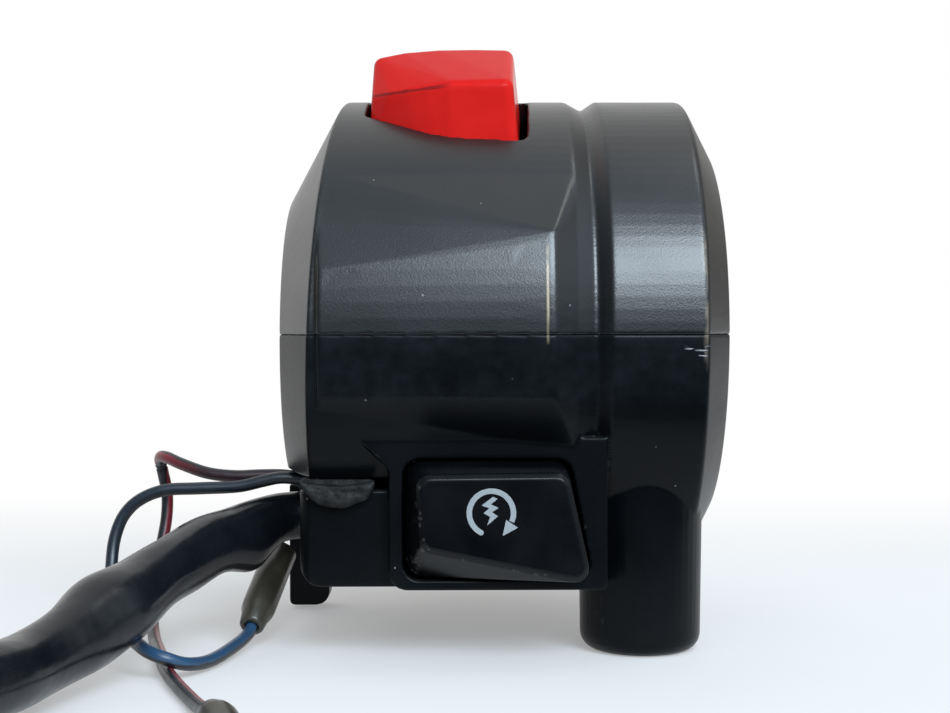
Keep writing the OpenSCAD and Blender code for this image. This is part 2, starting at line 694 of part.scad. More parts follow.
module lower_case() {
    tube_d = counterbore_d + 2 * 1.2;
    color("#17191c")
    difference() {
        union() {
            difference() {
                union() {
                    difference() {
                        case_form();
                        // the barrel stops above the outlet, on the rider's side
                        translate([x_left - 1, -far, -far])
                            cube([pod_left - x_left + 1, far - 3, far - outlet_top]);
                    }
                    starter_pod();
                    outlet_block();
                    cable_boss();
                    guide_lug();
                    translate([rear_screw_x, screw_y, 0]) post(tube_d + 1, -screw_seat - 3, -6);
                }
                case_hollow();
                // room of the outlet, joined to the switch room
                translate([outlet_left + outlet_wall, outlet_wall - outlet_front, outlet_wall - outlet_bottom])
                    cube([pod_left - outlet_left - 0.8, outlet_front - outlet_wall - 5,
                        outlet_bottom - outlet_wall - outlet_top]);
                translate([outlet_left - 1, -harness_y - plug_half, -outlet_bottom + outlet_wall])
                    cube([outlet_wall + 2, 2 * plug_half, outlet_bottom - outlet_wall - outlet_top]);
                // the button's opening, and the room of its switch
                upright(-pod_front - 1, floor_y, opening(0));
                translate([stem_x - base_half - 0.2, floor_back, -stem_z - base_half_h - 1.2])
                    cube([x_seat - seat_wall - stem_x + base_half + 0.2, -5 - floor_back,
                        2 * base_half_h + 2.6]);
            }
            intersection() {
                union() {
                    at_case_screws() post(screw_bore_d + 2 * boss_wall, -screw_seat, 0);
                    translate([front_screw_x, -screw_y, 0]) post(tube_d, -outlet_bottom, -screw_seat + 1.5);
                }
                union() {
                    case_form();
                    outlet_block();
                }
            }
            for (side = [-1, 1])
                translate([stem_x + side * base_screw_x, base_y, -stem_z])
                    rotate([90, 0, 0]) post(base_screw_d + 1.2, 0, base_gap + 0.5);
        }
        translate([-far, -far, 0]) cube(2 * far);
        at_case_screws() {
            post(screw_bore_d, -far, 1);
            post(counterbore_d, -far, -screw_seat);
        }
        // stem guide and the threads of the base screws
        translate([stem_x - stem_w / 2 - stem_gap, floor_y - 1, -stem_z - stem_h / 2 - stem_gap])
            cube([stem_w + 2 * stem_gap, floor_wall + 2, stem_h + 2 * stem_gap]);
        for (side = [-1, 1])
            translate([stem_x + side * base_screw_x, base_y + 1, -stem_z])
                rotate([90, 0, 0]) post(base_screw_d + 2 * thread_gap, 0, base_gap + 0.5);
        // socket of the cable's end fitting and the hole of the inner cable
        translate([x_boss, -boss_y, 0]) {
            post(socket_d, floor_z - 1, floor_z + socket_len);
            post(cable_hole_d, floor_z, -chamber_r / 2);
        }
    }
}

// Two long pan-head screws from below, with a cross recess each
module case_screws() {
    tip = screw_len - screw_seat;
    color("#8d9196")
    at_case_screws()
        difference() {
            union() {
                post(screw_d, -screw_seat - eps, tip);
                translate([0, 0, -screw_seat - screw_head_h])
                    rotate_extrude($fn = 48)
                        polygon(rounded(
                            [[0, 0], [screw_head_d / 2, 0],
                             [screw_head_d / 2, screw_head_h], [0, screw_head_h]],
                            [0, 1, 0, 0]));
            }
            for (turn = [0, 90])
                rotate([0, 0, turn])
                    translate([-2, -0.45, -screw_seat - screw_head_h - 1]) cube([4, 0.9, 2.6]);
        }
}

// Corners of the rocker's cap as [station, depth, height] from the pivot's station and the barrel's top
cap_round = 1.1;
cap_crease = [
    [-7.4, -2.2, 0.9], [-5.7, -3.9, 1.6], [-3.8, -5.2, 2.1], [-1.8, -6.1, 2.6], [0.6, -6.8, 3],
    [3.4, -7.2, 3.1], [6.3, -7.4, 3.2]
];
cap_ridge = [[-7.3, 2, 4.1], [-4.7, 2.1, 4.6], [-0.8, 2.2, 4.9], [3.2, 2.2, 4.95], [6.6, 2.2, 4.9]];
cap_rear = [[-7.6, 5, 2.3], [6.9, 5, 2.9]];

module stop_rocker() {
    foot = pivot_h + ear_w / 2 + 0.7;
    cheek = ear_span / 2 - 0.2;
    reach = ear_span / 2 + ear_t;
    color("#c8201e")
    in_stop_frame()
    difference() {
        union() {
            // cap
            hull() {
                for (p = concat(cap_crease, cap_ridge, cap_rear))
                    translate(p + [rocker_x, 0, case_r]) sphere(r = cap_round, $fn = hull_fn);
                translate([0, 0, foot])
                    linear_extrude(0.5) polygon(rocker_plan(rocker_left, rocker_right, 0));
            }
            // cheeks, trunnions and the plunger's tower, square to the rocker's middle position
            translate([rocker_x, 0, pivot_h])
                rotate([0, -rocker_travel / 2, 0]) {
                    for (front = [cheek - 2, -cheek])
                        translate([-2.4, front, -1.6]) cube([4.8, 2, 5]);
                    for (front = [cheek - 1, -reach])
                        translate([0, front, 0])
                            rotate([-90, 0, 0]) post(trunnion_d, 0, reach - cheek + 1);
                    translate([-2.2, -2.2, -2.4]) cube([4.4, 4.4, 6]);
                }
        }
        translate([rocker_x, 0, pivot_h])
            rotate([0, -rocker_travel / 2, 0]) post(plunger_d + 0.1, -5, 6);
    }
}

plunger_tip = blade_h + blade_t / 2 + 0.4 - pivot_h;

module in_plunger_bore() {
    in_stop_frame()
        translate([rocker_x, 0, pivot_h])
            rotate([0, -rocker_travel / 2, 0]) children();
}

// Round-nosed pin that the spring pushes against the contact blade
module stop_plunger() {
    nose = plunger_d / 2;
    color("#d9d4c4")
    in_plunger_bore()
        rotate_extrude($fn = 48)
            intersection() {
                union() {
                    translate([0, plunger_tip + nose]) circle(r = nose, $fn = 48);
                    translate([0, plunger_tip + nose]) square([nose, 1.6]);
                }
                translate([0, plunger_tip]) square([nose, 10]);
            }
}

module stop_spring() {
    low = plunger_tip + plunger_d / 2 + 1.6;
    color("#b9bdc2")
    in_plunger_bore()
        translate([0, 0, low + 0.05]) spring(plunger_d - 0.1, 5.9 - low, 5);
}

// Seesaw blade that the plunger tips from one contact to the other
module stop_contact_blade() {
    half = stop_span + 1;
    color("#c9a24a")
    in_stop_frame()
        translate([rocker_x, 0, blade_h])
            rotate([0, blade_lean, 0])
                translate([-half, -1.6, -blade_t / 2]) cube([2 * half, 3.2, blade_t]);
}

// Moulded base with the two ears that carry the rocker and a saddle for the blade
module stop_contact_base() {
    left = left_boss_x - boss_reach;
    right = right_boss_x + 1.8;
    half = ear_span / 2 + ear_t;
    color("#3a2a20")
    in_stop_frame()
    difference() {
        union() {
            translate([left, -half, base_low]) cube([right - left, 2 * half, base_t]);
            for (front = [ear_span / 2, -half])
                translate([rocker_x, front, 0]) {
                    translate([-ear_w / 2, 0, base_low]) cube([ear_w, ear_t, pivot_h - base_low]);
                    translate([0, 0, pivot_h]) rotate([-90, 0, 0]) post(ear_w, 0, ear_t);
                }
            translate([rocker_x, -2.2, base_top]) rotate([-90, 0, 0]) post(1.4, 0, 4.4);
        }
        translate([rocker_x, -far / 2, pivot_h])
            rotate([-90, 0, 0]) post(trunnion_d + 2 * trunnion_gap, 0, far);
        for (x = [left_boss_x, right_boss_x])
            translate([x, 0, 0]) post(base_screw_d + 0.3, base_low - 1, base_top + 1);
        for (side = [-1, 1])
            translate([rocker_x + side * stop_span, 0, 0]) post(1.2, base_low - 1, base_top + 1);
    }
}

// Two riveted contacts with tags that lead towards the rider
module stop_fixed_contacts() {
    drop = stop_span * sin(blade_lean) + blade_t / 2 + 0.25;
    color("#c9a24a")
    in_stop_frame()
    for (side = [-1, 1])
        translate([rocker_x + side * stop_span, 0, 0]) {
            post(2.2, base_top, blade_h - drop);
            post(1.2, base_low - eps, base_top + eps);
            translate([-1, stop_tag_v, base_low - tag_t]) cube([2, 1 - stop_tag_v, tag_t]);
        }
}

module pan_screw(length) {
    color("#9a9ea3")
    difference() {
        union() {
            post(base_screw_d, -eps, length);
            post(base_screw_d + 1.6, -1.1, 0);
        }
        for (turn = [0, 90])
            rotate([0, 0, turn]) translate([-1.1, -0.25, -2]) cube([2.2, 0.5, 1.5]);
    }
}

module stop_base_screws() {
    in_stop_frame()
    for (x = [left_boss_x, right_boss_x])
        translate([x, 0, base_low]) pan_screw(base_t + 1.8 * base_screw_d);
}

// Wedge-shaped push button with its stem and the pocket of its spring
module starter_button() {
    tip = -pod_front - button_proud;
    face = [
        [pod_left + 2.85, -opening_top - 1.3], [pod_right - 4.3, -opening_top - 1.15],
        [pod_right - 1.75, -pod_bottom + pod_sill], [pod_left + 3.35, -pod_bottom + 4.6]
    ];
    inner = [
        [pod_left + 3.35, -opening_top - 1.8], [pod_right - 4.75, -opening_top - 1.65],
        [pod_right - 2.4, -pod_bottom + pod_sill + 0.7], [pod_left + 3.85, -pod_bottom + 5.1]
    ];
    color("#101114")
    difference() {
        union() {
            upright(button_back - 0.1, button_back, opening(button_gap));
            hull() {
                upright(-pod_front + 0.6, button_back, opening(button_gap));
                upright(tip + 0.5, tip + 0.9, rounded(face, [1.4, 1.4, 1.4, 1.4]));
                upright(tip, tip + 0.3, rounded(inner, [1, 1, 1, 1]));
            }
            translate([stem_x - stem_w / 2, button_back - 1, -stem_z - stem_h / 2])
                cube([stem_w, stem_back - button_back + 1, stem_h]);
        }
        translate([stem_x, stem_back + 1, -stem_z])
            rotate([90, 0, 0]) post(spring_d + 0.4, 0, 5.6);
    }
}

spring_front = stem_back - 4.6 + 0.05;

module starter_spring() {
    color("#b9bdc2")
    translate([stem_x, spring_front, -stem_z])
        rotate([-90, 0, 0]) spring(spring_d, base_y - spring_front - 0.05, 7);
}

// Brass bridge on the stem's end, which closes the two posts
module starter_contact_plate() {
    half = contact_span + 0.9;
    color("#c9a24a")
    difference() {
        translate([stem_x - half, stem_back, -stem_z - 2.5]) cube([2 * half, contact_t, 5]);
        translate([stem_x, stem_back + 5, -stem_z]) rotate([90, 0, 0]) post(spring_d + 0.4, 0, 10);
    }
}

module starter_contact_base() {
    color("#3a2a20")
    difference() {
        translate([stem_x - base_half, base_y, -stem_z - base_half_h])
            cube([2 * base_half, base_t, 2 * base_half_h]);
        for (side = [-1, 1]) {
            translate([stem_x + side * contact_span, base_y + 5, -stem_z])
                rotate([90, 0, 0]) post(1.6, 0, 10);
            translate([stem_x + side * base_screw_x, base_y + 5, -stem_z])
                rotate([90, 0, 0]) post(base_screw_d + 0.3, 0, 10);
        }
    }
}

module starter_fixed_contacts() {
    color("#c9a24a")
    for (side = [-1, 1])
        translate([stem_x + side * contact_span, 0, -stem_z]) {
            rotate([-90, 0, 0]) post(2.4, post_front, base_y);
            rotate([-90, 0, 0]) post(1.6, base_y - eps, base_y + base_t + eps);
            translate([-0.8, base_y + base_t, -1.2]) cube([1.6, tag_t, 2.4]);
        }
}

module starter_base_screws() {
    for (side = [-1, 1])
        translate([stem_x + side * base_screw_x, base_y + base_t, -stem_z])
            rotate([90, 0, 0]) pan_screw(base_t + 2 * base_screw_d);
}

module lead(p) {
    tube(p, even(p, wire_d / 2), 8, [0.3, 0.2, 1]);
}

module stop_leads() {
    color("#26282b") {
        lead(stop_lead_a);
        lead(stop_lead_b);
    }
}

module starter_leads() {
    color("#26282b") {
        lead(starter_lead_a);
        lead(starter_lead_b);
    }
}

// Rubber plug of the outlet: a block round the leads, a strip along the wall and a lip in front
module harness_grommet() {
    low = -outlet_bottom + 2;
    high = -outlet_top;
    lip_x = outlet_left + 0.1 + lip_w / 2;
    lip_r = (lip_w * lip_w / 4 + lip_h * lip_h) / (2 * lip_h);
    fit = 0.05;
    color("#2b2b2a")
    difference() {
        union() {
            translate([outlet_left - 0.2, -harness_y - plug_half + fit, low + fit])
                cube([lead_end_x - outlet_left + 0.2, 2 * plug_half - 2 * fit, high - low - 2 * fit]);
            translate([outlet_left + 0.1, -outlet_front + 1, high - outlet_gap + fit])
                cube([outlet_wall, outlet_front - harness_y - plug_half, outlet_gap - 2 * fit]);
            translate([outlet_left + 0.1, -outlet_front - 0.4, high - outlet_gap + fit])
                cube([lip_w - 0.4, 2.2, outlet_gap - 2 * fit]);
            intersection() {
                upright(-outlet_front - 1.4, -outlet_front - fit, [
                    [outlet_left, high - lip_h - 1], [outlet_left, high - fit],
                    [outlet_left + lip_w + 1, high - fit], [outlet_left + lip_w + 1, high - lip_h - 1]]);
                translate([lip_x, -outlet_front + 1, high - lip_h + lip_r])
                    rotate([90, 0, 0]) post(2 * lip_r, 0, 5);
            }
        }
        translate([outlet_left - 5, -harness_y, -harness_z]) rotate([0, 90, 0]) post(harness_neck_d, 0, 20);
        for (y = [blue_route[0].y, red_route[0].y])
            translate([outlet_left - 5, y, blue_route[0].z]) rotate([0, 90, 0]) post(wire_d, 0, 20);
    }
}

// The sleeve narrows at the grommet and swells where the wires inside bunch up
function harness_r(s) = harness_d / 2 * (1 + 0.18 * exp(-pow((s - 37) / 5, 2)))
    - (harness_d - harness_neck_d) / 2 * (1 - 1 / (1 + exp(-(s - 16) / 3)));

module harness() {
    color("#15171b")
    tube(harness_route, [for (i = [0:len(harness_route) - 1]) harness_r(along(harness_route, i))], 12);
}

// The coiled rest of the harness, one unbroken tube
module harness_coil() {
    echo(coil_gap = least_gap(coil_route, 4 * harness_d) - harness_d);
    color("#15171b") tube(coil_route, even(coil_route, harness_d / 2), 6);
}

// Strap round the two strands where the turn closes
module harness_tie() {
    tie_angle = coil_angle - 360 / coil_rings;
    outer_r = coil_r - coil_step / coil_rings;
    strand_r = harness_d / 2 + tie_gap;
    module band(r) {
        circle(r = r, $fn = 48);
        translate([-coil_step, 0]) circle(r = r, $fn = 48);
        translate([-coil_step, -r]) square([coil_step, 2 * r]);
    }
    color("#d8d8d4")
    translate(coil_centre + [0, 0, coil_z])
        rotate([0, 0, tie_angle])
            translate([outer_r, 2, 0])
                rotate([90, 0, 0])
                    linear_extrude(4)
                        difference() {
                            band(strand_r + tie_t);
                            band(strand_r);
                        }
}

module in_plug_frame() {
    translate(plug_start)
        rotate([0, 0, atan2(plug_heading.y, plug_heading.x)]) children();
}

// Six-way plug housing: a block with a cavity for each terminal and a latch on top
module harness_plug() {
    mid = floor_z + plug_h / 2 + 0.1 - coil_z;
    color("#e4e0d2")
    in_plug_frame()
        difference() {
            union() {
                translate([0, -plug_w / 2, mid - plug_h / 2]) cube([plug_len, plug_w, plug_h]);
                translate([plug_len * 0.35, -1.6, mid + plug_h / 2]) cube([plug_len * 0.45, 3.2, 1]);
            }
            at_terminals(mid) translate([plug_len / 4, -1, -0.4]) cube([plug_len, 2, 0.8]);
        }
}

module at_terminals(mid) {
    for (column = [-1, 0, 1], row = [-1, 1])
        translate([0, column * 3, mid + row * 1.4]) children();
}

module plug_terminals() {
    mid = floor_z + plug_h / 2 + 0.1 - coil_z;
    color("#c9a24a")
    in_plug_frame()
        at_terminals(mid)
            translate([plug_len / 4, -1, -0.4]) cube([plug_len * 0.6, 2, 0.8]);
}

module brake_wire_blue() {
    color("#1a2230") lead(blue_route);
}

module brake_wire_red() {
    color("#2a1a1c") lead(red_route);
}

function route_end(p) = p[len(p) - 1];
function end_heading(p) = unit(route_end(p) - p[len(p) - 2]);

// Places a piece along +Z at the end of a wire, its mouth back over the wire by the given length
module on_wire_end(p, back) {
    h = end_heading(p);
    translate(route_end(p) - back * h)
        rotate([0, acos(h.z), atan2(h.y, h.x)]) children();
}

sleeve_back = 1.6;

// Soft sleeve of a bullet connector: a narrow mouth, a full body and an open end
module bullet_sleeve(p) {
    skin = 0.45;
    r = sleeve_d / 2;
    mouth = wire_d / 2 + 0.05;
    on_wire_end(p, sleeve_back)
        rotate_extrude($fn = 32)
            polygon([
                [mouth, 0], [mouth + 0.6, 0], [r, 3], [r, sleeve_len], [r - skin, sleeve_len],
                [r - skin, 2.6], [mouth, 1.5]
            ]);
}

// Rolled brass receptacle inside the sleeve, with the wire's end in its crimp
module bullet_terminal(p) {
    r = sleeve_d / 2 - 0.5;
    on_wire_end(p, 0)
        difference() {
            post(2 * r, 1.05, sleeve_len - sleeve_back - 1);
            post(2 * r - 0.9, 3.2, sleeve_len);
        }
}

module blue_wire_sleeve() {
    color("#6f6a58") bullet_sleeve(blue_route);
}

module red_wire_sleeve() {
    color("#6f6a58") bullet_sleeve(red_route);
}

module blue_wire_bullet() {
    color("#c9a24a") bullet_terminal(blue_route);
}

module red_wire_bullet() {
    color("#c9a24a") bullet_terminal(red_route);
}

upper_case();
lower_case();
case_screws();
stop_rocker();
stop_plunger();
stop_spring();
stop_contact_blade();
stop_contact_base();
stop_fixed_contacts();
stop_base_screws();
starter_button();
starter_spring();
starter_contact_plate();
starter_contact_base();
starter_fixed_contacts();
starter_base_screws();
stop_leads();
starter_leads();
harness_grommet();
harness();
harness_coil();
harness_tie();
harness_plug();
plug_terminals();
brake_wire_blue();
brake_wire_red();
blue_wire_sleeve();
red_wire_sleeve();
blue_wire_bullet();
red_wire_bullet();
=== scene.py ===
"""Looks of a right-hand handlebar switch cluster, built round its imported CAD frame, in metres."""
import math

import bmesh
import bpy
import numpy as np
from mathutils import Matrix, Vector, noise as unevenness


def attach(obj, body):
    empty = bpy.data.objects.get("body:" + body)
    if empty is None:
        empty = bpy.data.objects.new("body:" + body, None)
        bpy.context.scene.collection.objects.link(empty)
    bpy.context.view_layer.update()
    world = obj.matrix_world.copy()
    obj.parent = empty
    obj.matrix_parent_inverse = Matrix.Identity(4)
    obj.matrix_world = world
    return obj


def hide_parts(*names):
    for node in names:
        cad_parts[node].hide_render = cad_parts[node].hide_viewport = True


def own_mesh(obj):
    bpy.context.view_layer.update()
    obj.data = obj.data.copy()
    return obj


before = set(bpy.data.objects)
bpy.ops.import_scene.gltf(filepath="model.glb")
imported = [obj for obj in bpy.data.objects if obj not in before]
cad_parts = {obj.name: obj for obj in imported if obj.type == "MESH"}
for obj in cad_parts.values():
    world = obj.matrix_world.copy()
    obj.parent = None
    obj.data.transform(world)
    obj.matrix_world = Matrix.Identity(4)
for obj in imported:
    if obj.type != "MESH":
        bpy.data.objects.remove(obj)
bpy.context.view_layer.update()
mm = 0.001


# Case halves: two shells moulded in black glass-filled nylon with a fine spark-eroded grain. They close round
# the bar on a flat parting line and two long screws pull them together. A pale tan highlight is painted along
# the panel's right edge and a fainter one along the band's, the upper faces have gone grey, and the lower half
# is grimy and shines less.
def new_finish(name):
    finish = bpy.data.materials.new(name)
    finish.use_nodes = True
    tree = finish.node_tree
    return finish, tree, tree.nodes["Principled BSDF"]


def join(tree, value, socket):
    if isinstance(value, bpy.types.NodeSocket):
        tree.links.new(value, socket)
    elif isinstance(value, tuple) and len(value) == 3 and socket.type == "RGBA":
        socket.default_value = (*value, 1)
    else:
        socket.default_value = value


def feed(tree, node, **inputs):
    for key, value in inputs.items():
        join(tree, value, node.inputs[key.replace("_", " ")])


def add(tree, kind, settings=None, **inputs):
    made = tree.nodes.new("ShaderNode" + kind)
    for key, value in (settings or {}).items():
        setattr(made, key, value)
    feed(tree, made, **inputs)
    return made


def place(tree):
    return add(tree, "TexCoord").outputs["Object"]


def noise(tree, size, detail=2.0, where=None):
    made = add(tree, "TexNoise", Vector=where or place(tree), Scale=1 / size, Detail=detail)
    return made.outputs["Fac"]


def stretched(tree, scale):
    return add(tree, "Mapping", Vector=place(tree), Scale=scale).outputs["Vector"]


def span(tree, value, low, high, start=0.0, end=1.0):
    made = add(tree, "MapRange", Value=value, From_Min=low, From_Max=high, To_Min=start, To_Max=end)
    return made.outputs["Result"]


def sums(tree, operation, a, b):
    made = add(tree, "Math", {"operation": operation})
    join(tree, a, made.inputs[0])
    join(tree, b, made.inputs[1])
    return made.outputs[0]


def times(tree, *values):
    product = values[0]
    for value in values[1:]:
        product = sums(tree, "MULTIPLY", product, value)
    return product


def over(tree, mask, under, upper):
    under_socket, upper_socket, colour_socket = 6, 7, 2
    made = add(tree, "Mix", {"data_type": "RGBA"})
    join(tree, mask, made.inputs[0])
    join(tree, under, made.inputs[under_socket])
    join(tree, upper, made.inputs[upper_socket])
    return made.outputs[colour_socket]


def ramp(tree, value, low, high, start, end):
    return over(tree, span(tree, value, low, high), start, end)


def within(tree, axis, low, high, soft):
    value = add(tree, "SeparateXYZ", Vector=place(tree)).outputs[axis]
    return times(tree, span(tree, value, low - soft, low), span(tree, value, high, high + soft, 1, 0))


def front_patch(tree, across, upright):
    left, right, side_fade = across
    bottom, top, end_fade = upright
    foremost, hindmost, depth_fade = -40, -20, 1
    return times(tree, within(tree, "X", left * mm, right * mm, side_fade * mm),
                 within(tree, "Z", bottom * mm, top * mm, end_fade * mm),
                 within(tree, "Y", foremost * mm, hindmost * mm, depth_fade * mm))


def bumps(tree, height, depth, strength=1.0, under=None):
    made = add(tree, "Bump", Height=height, Distance=depth, Strength=strength)
    if under:
        tree.links.new(under, made.inputs["Normal"])
    return made.outputs["Normal"]


def worn_edges(tree, low, high):
    return span(tree, add(tree, "NewGeometry").outputs["Pointiness"], low, high)


def facing_up(tree, low, high):
    normal = add(tree, "NewGeometry").outputs["Normal"]
    return span(tree, add(tree, "SeparateXYZ", Vector=normal).outputs["Z"], low, high)


def specks(tree, apart, size, share):
    cells = add(tree, "TexVoronoi", Vector=place(tree), Scale=1 / apart)
    core = 0.6 * size
    dot = span(tree, cells.outputs["Distance"], core / apart, size / apart, 1, 0)
    chance = add(tree, "SeparateColor", Color=cells.outputs["Color"]).outputs["Red"]
    left_out, step = 1 - share, 0.001
    return times(tree, dot, span(tree, chance, left_out, left_out + step))


def put_in(name, data):
    piece = bpy.data.objects.new(name, data)
    bpy.context.scene.collection.objects.link(piece)
    return piece


def rounded_copy(node, name, voxel, passes):
    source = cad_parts[node]
    piece = put_in(name, source.data.copy())
    piece.data.materials.clear()
    remesh = piece.modifiers.new("skin", "REMESH")
    remesh.mode = "VOXEL"
    remesh.voxel_size = voxel
    hug = piece.modifiers.new("hug", "SHRINKWRAP")
    hug.target = source
    soften = piece.modifiers.new("soften", "SMOOTH")
    soften.factor = 0.5
    soften.iterations = passes
    ready = piece.evaluated_get(bpy.context.evaluated_depsgraph_get())
    skin = bpy.data.meshes.new_from_object(ready)
    piece.modifiers.clear()
    piece.data = skin
    skin.shade_smooth()
    return piece


nylon_dark, nylon_light = (0.0012, 0.0018, 0.0024), (0.0024, 0.0032, 0.004)
nylon_greyed, nylon_rubbed = (0.012, 0.012, 0.0115), (0.07, 0.065, 0.055)
case_dust, case_speck, case_scuff = (0.0085, 0.0105, 0.0125), (0.2, 0.2, 0.21), (0.3, 0.3, 0.3)
# Painted highlights: pale tan lines along the panel's right edge and the band's right edge.
panel_highlight_tan, band_highlight_tan = (0.38, 0.3, 0.2), (0.3, 0.24, 0.18)
panel_highlight_strip = {"across": (11.9, 12.02, 0.12), "upright": (0.2, 8.6, 1.2)}
band_highlight_strip = {"across": (28.2, 28.45, 0.2), "upright": (-1, 9, 3)}
scuffed_spot = {"across": (26.6, 28.3, 0.6), "upright": (-2.3, -1.1, 0.3)}
dust_bottom, dust_top, dust_fade = -6 * mm, 0, 2 * mm


def case_finish(name, refraction):
    finish, tree, surface = new_finish(name)
    patches = noise(tree, 9 * mm, 4)
    streaks = noise(tree, 0.9 * mm, 4, stretched(tree, (1, 1, 0.25)))
    colour = ramp(tree, patches, 0.3, 0.7, nylon_dark, nylon_light)

    skyward = times(tree, facing_up(tree, 0.25, 1.0), span(tree, patches, 0.2, 0.8, 0.6, 1))
    colour = over(tree, skyward, colour, nylon_greyed)
    edges = times(tree, worn_edges(tree, 0.535, 0.6), span(tree, streaks, 0.4, 0.65), 0.2)
    colour = over(tree, edges, colour, nylon_rubbed)
    dust = times(tree, within(tree, "Z", dust_bottom, dust_top, dust_fade),
                 span(tree, noise(tree, 1.4 * mm, 6), 0.3, 0.75, 0.3, 1),
                 span(tree, patches, 0.3, 0.6, 0.4, 1))
    colour = over(tree, dust, colour, case_dust)

    # Painted highlight: a pale tan line along the panel's right edge, and a fainter one along the band's right
    # edge.
    panel_highlight = times(tree, front_patch(tree, **panel_highlight_strip), span(tree, streaks, 0.3, 0.5))
    colour = over(tree, panel_highlight, colour, panel_highlight_tan)
    band_highlight = times(tree, front_patch(tree, **band_highlight_strip), span(tree, streaks, 0.42, 0.62), 0.6)
    colour = over(tree, band_highlight, colour, band_highlight_tan)
    scratches = span(tree, noise(tree, 0.8 * mm, 2, stretched(tree, (0.25, 1, 3))), 0.6, 0.66)
    colour = over(tree, times(tree, scratches, front_patch(tree, **scuffed_spot)), colour, case_scuff)
    colour = over(tree, times(tree, specks(tree, 3 * mm, 0.14 * mm, 0.45), 0.8), colour, case_speck)

    grain = noise(tree, 0.2 * mm, 3)
    feed(tree, surface, Base_Color=colour, IOR=refraction,
         Roughness=span(tree, patches, 0.2, 0.8, 0.27, 0.36),
         Normal=bumps(tree, grain, 0.03 * mm, 0.5))
    return finish


shell_voxel, shell_passes = 0.18 * mm, 6
for half, finish_name, refraction in (("upper_case", "case_black", 1.58), ("lower_case", "case_grimy", 1.23)):
    shell = rounded_copy(half, half + "_shell", shell_voxel, shell_passes)
    shell.data.materials.append(case_finish(finish_name, refraction))
    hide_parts(half)
    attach(shell, "case")


# Screws: zinc-plated steel pan heads with a cross recess, cold headed, with rolled threads.
# The two long ones close the case from below; the small ones hold the contact bases.
screw_steel, tree, surface = new_finish("screw_steel")
zinc_dull, zinc_bright = (0.42, 0.42, 0.43), (0.6, 0.6, 0.6)
plating = noise(tree, 0.6 * mm, 4)
feed(tree, surface, Metallic=1, Base_Color=ramp(tree, plating, 0.2, 0.8, zinc_dull, zinc_bright),
     Roughness=span(tree, plating, 0.2, 0.8, 0.25, 0.45))


def dress(node, finish):
    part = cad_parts[node].data
    part.materials.clear()
    part.materials.append(finish)


for node in ("case_screws", "stop_base_screws", "starter_base_screws"):
    dress(node, screw_steel)


# Contact bases: brown phenolic resin plates, compression moulded, that carry the contacts of both switches.
# They are screwed to posts inside the case, and the stop switch's base has ears that hold the rocker.
contact_resin, tree, surface = new_finish("contact_resin")
resin_dark, resin_light = (0.07, 0.04, 0.025), (0.15, 0.09, 0.055)
fibres = noise(tree, 0.4 * mm, 6)
feed(tree, surface, Base_Color=ramp(tree, fibres, 0.3, 0.7, resin_dark, resin_light), Roughness=0.5,
     Normal=bumps(tree, fibres, 0.03 * mm, 0.4))
for node in ("stop_contact_base", "starter_contact_base"):
    dress(node, contact_resin)


# Contacts: stamped brass strip, riveted to the bases; the blade rocks between two of them.
# The plug's terminals and the wires' bullets are crimped from the same brass.
contact_brass, tree, surface = new_finish("contact_brass")
brass_dull, brass_bright = (0.42, 0.28, 0.1), (0.72, 0.53, 0.22)
tarnish = noise(tree, 1.5 * mm, 5)
feed(tree, surface, Metallic=1, Base_Color=ramp(tree, tarnish, 0.35, 0.7, brass_dull, brass_bright),
     Roughness=span(tree, tarnish, 0.3, 0.7, 0.45, 0.25))
for node in ("stop_contact_blade", "stop_fixed_contacts", "starter_contact_plate",
             "starter_fixed_contacts", "plug_terminals", "blue_wire_bullet", "red_wire_bullet"):
    dress(node, contact_brass)


# Plunger: a small off-white acetal pin that slides in a bore of the rocker.
# The rocker's spring presses it on the contact blade.
plunger_white, tree, surface = new_finish("plunger_white")
acetal_dark, acetal_light = (0.66, 0.63, 0.54), (0.76, 0.73, 0.65)
clouds = noise(tree, 0.8 * mm, 3)
feed(tree, surface, Base_Color=ramp(tree, clouds, 0.3, 0.7, acetal_dark, acetal_light), Roughness=0.4)
dress("stop_plunger", plunger_white)


# Springs: drawn steel wire wound into open coils, one in the rocker and one behind the button.
# The button's spring stands on its contact base; in the real switch it shortens as the button goes in.
spring_steel, tree, surface = new_finish("spring_steel")
steel_dark, steel_light = (0.45, 0.45, 0.46), (0.55, 0.55, 0.56)
drawing = noise(tree, 0.3 * mm, 4)
feed(tree, surface, Metallic=1, Base_Color=ramp(tree, drawing, 0.3, 0.7, steel_dark, steel_light),
     Roughness=span(tree, drawing, 0.3, 0.7, 0.25, 0.4))


def smooth_route(points, spacing):
    steps_between = 24
    points = np.asarray(points, float)
    ends = np.vstack([2 * points[0] - points[1], points, 2 * points[-1] - points[-2]])
    t = np.linspace(0, 1, steps_between, endpoint=False)[:, None]
    curve = []
    for a, b, c, d in zip(ends, ends[1:], ends[2:], ends[3:]):
        curve.append(0.5 * (2 * b + (c - a) * t + (2 * a - 5 * b + 4 * c - d) * t ** 2
                            + (3 * b - a - 3 * c + d) * t ** 3))
    curve = np.vstack(curve + [points[-1:]])
    run = np.concatenate([[0], np.cumsum(np.linalg.norm(np.diff(curve, axis=0), axis=1))])
    even = np.linspace(0, run[-1], max(2, round(run[-1] / spacing)) + 1)
    return np.column_stack([np.interp(even, run, curve[:, i]) for i in range(3)]), even


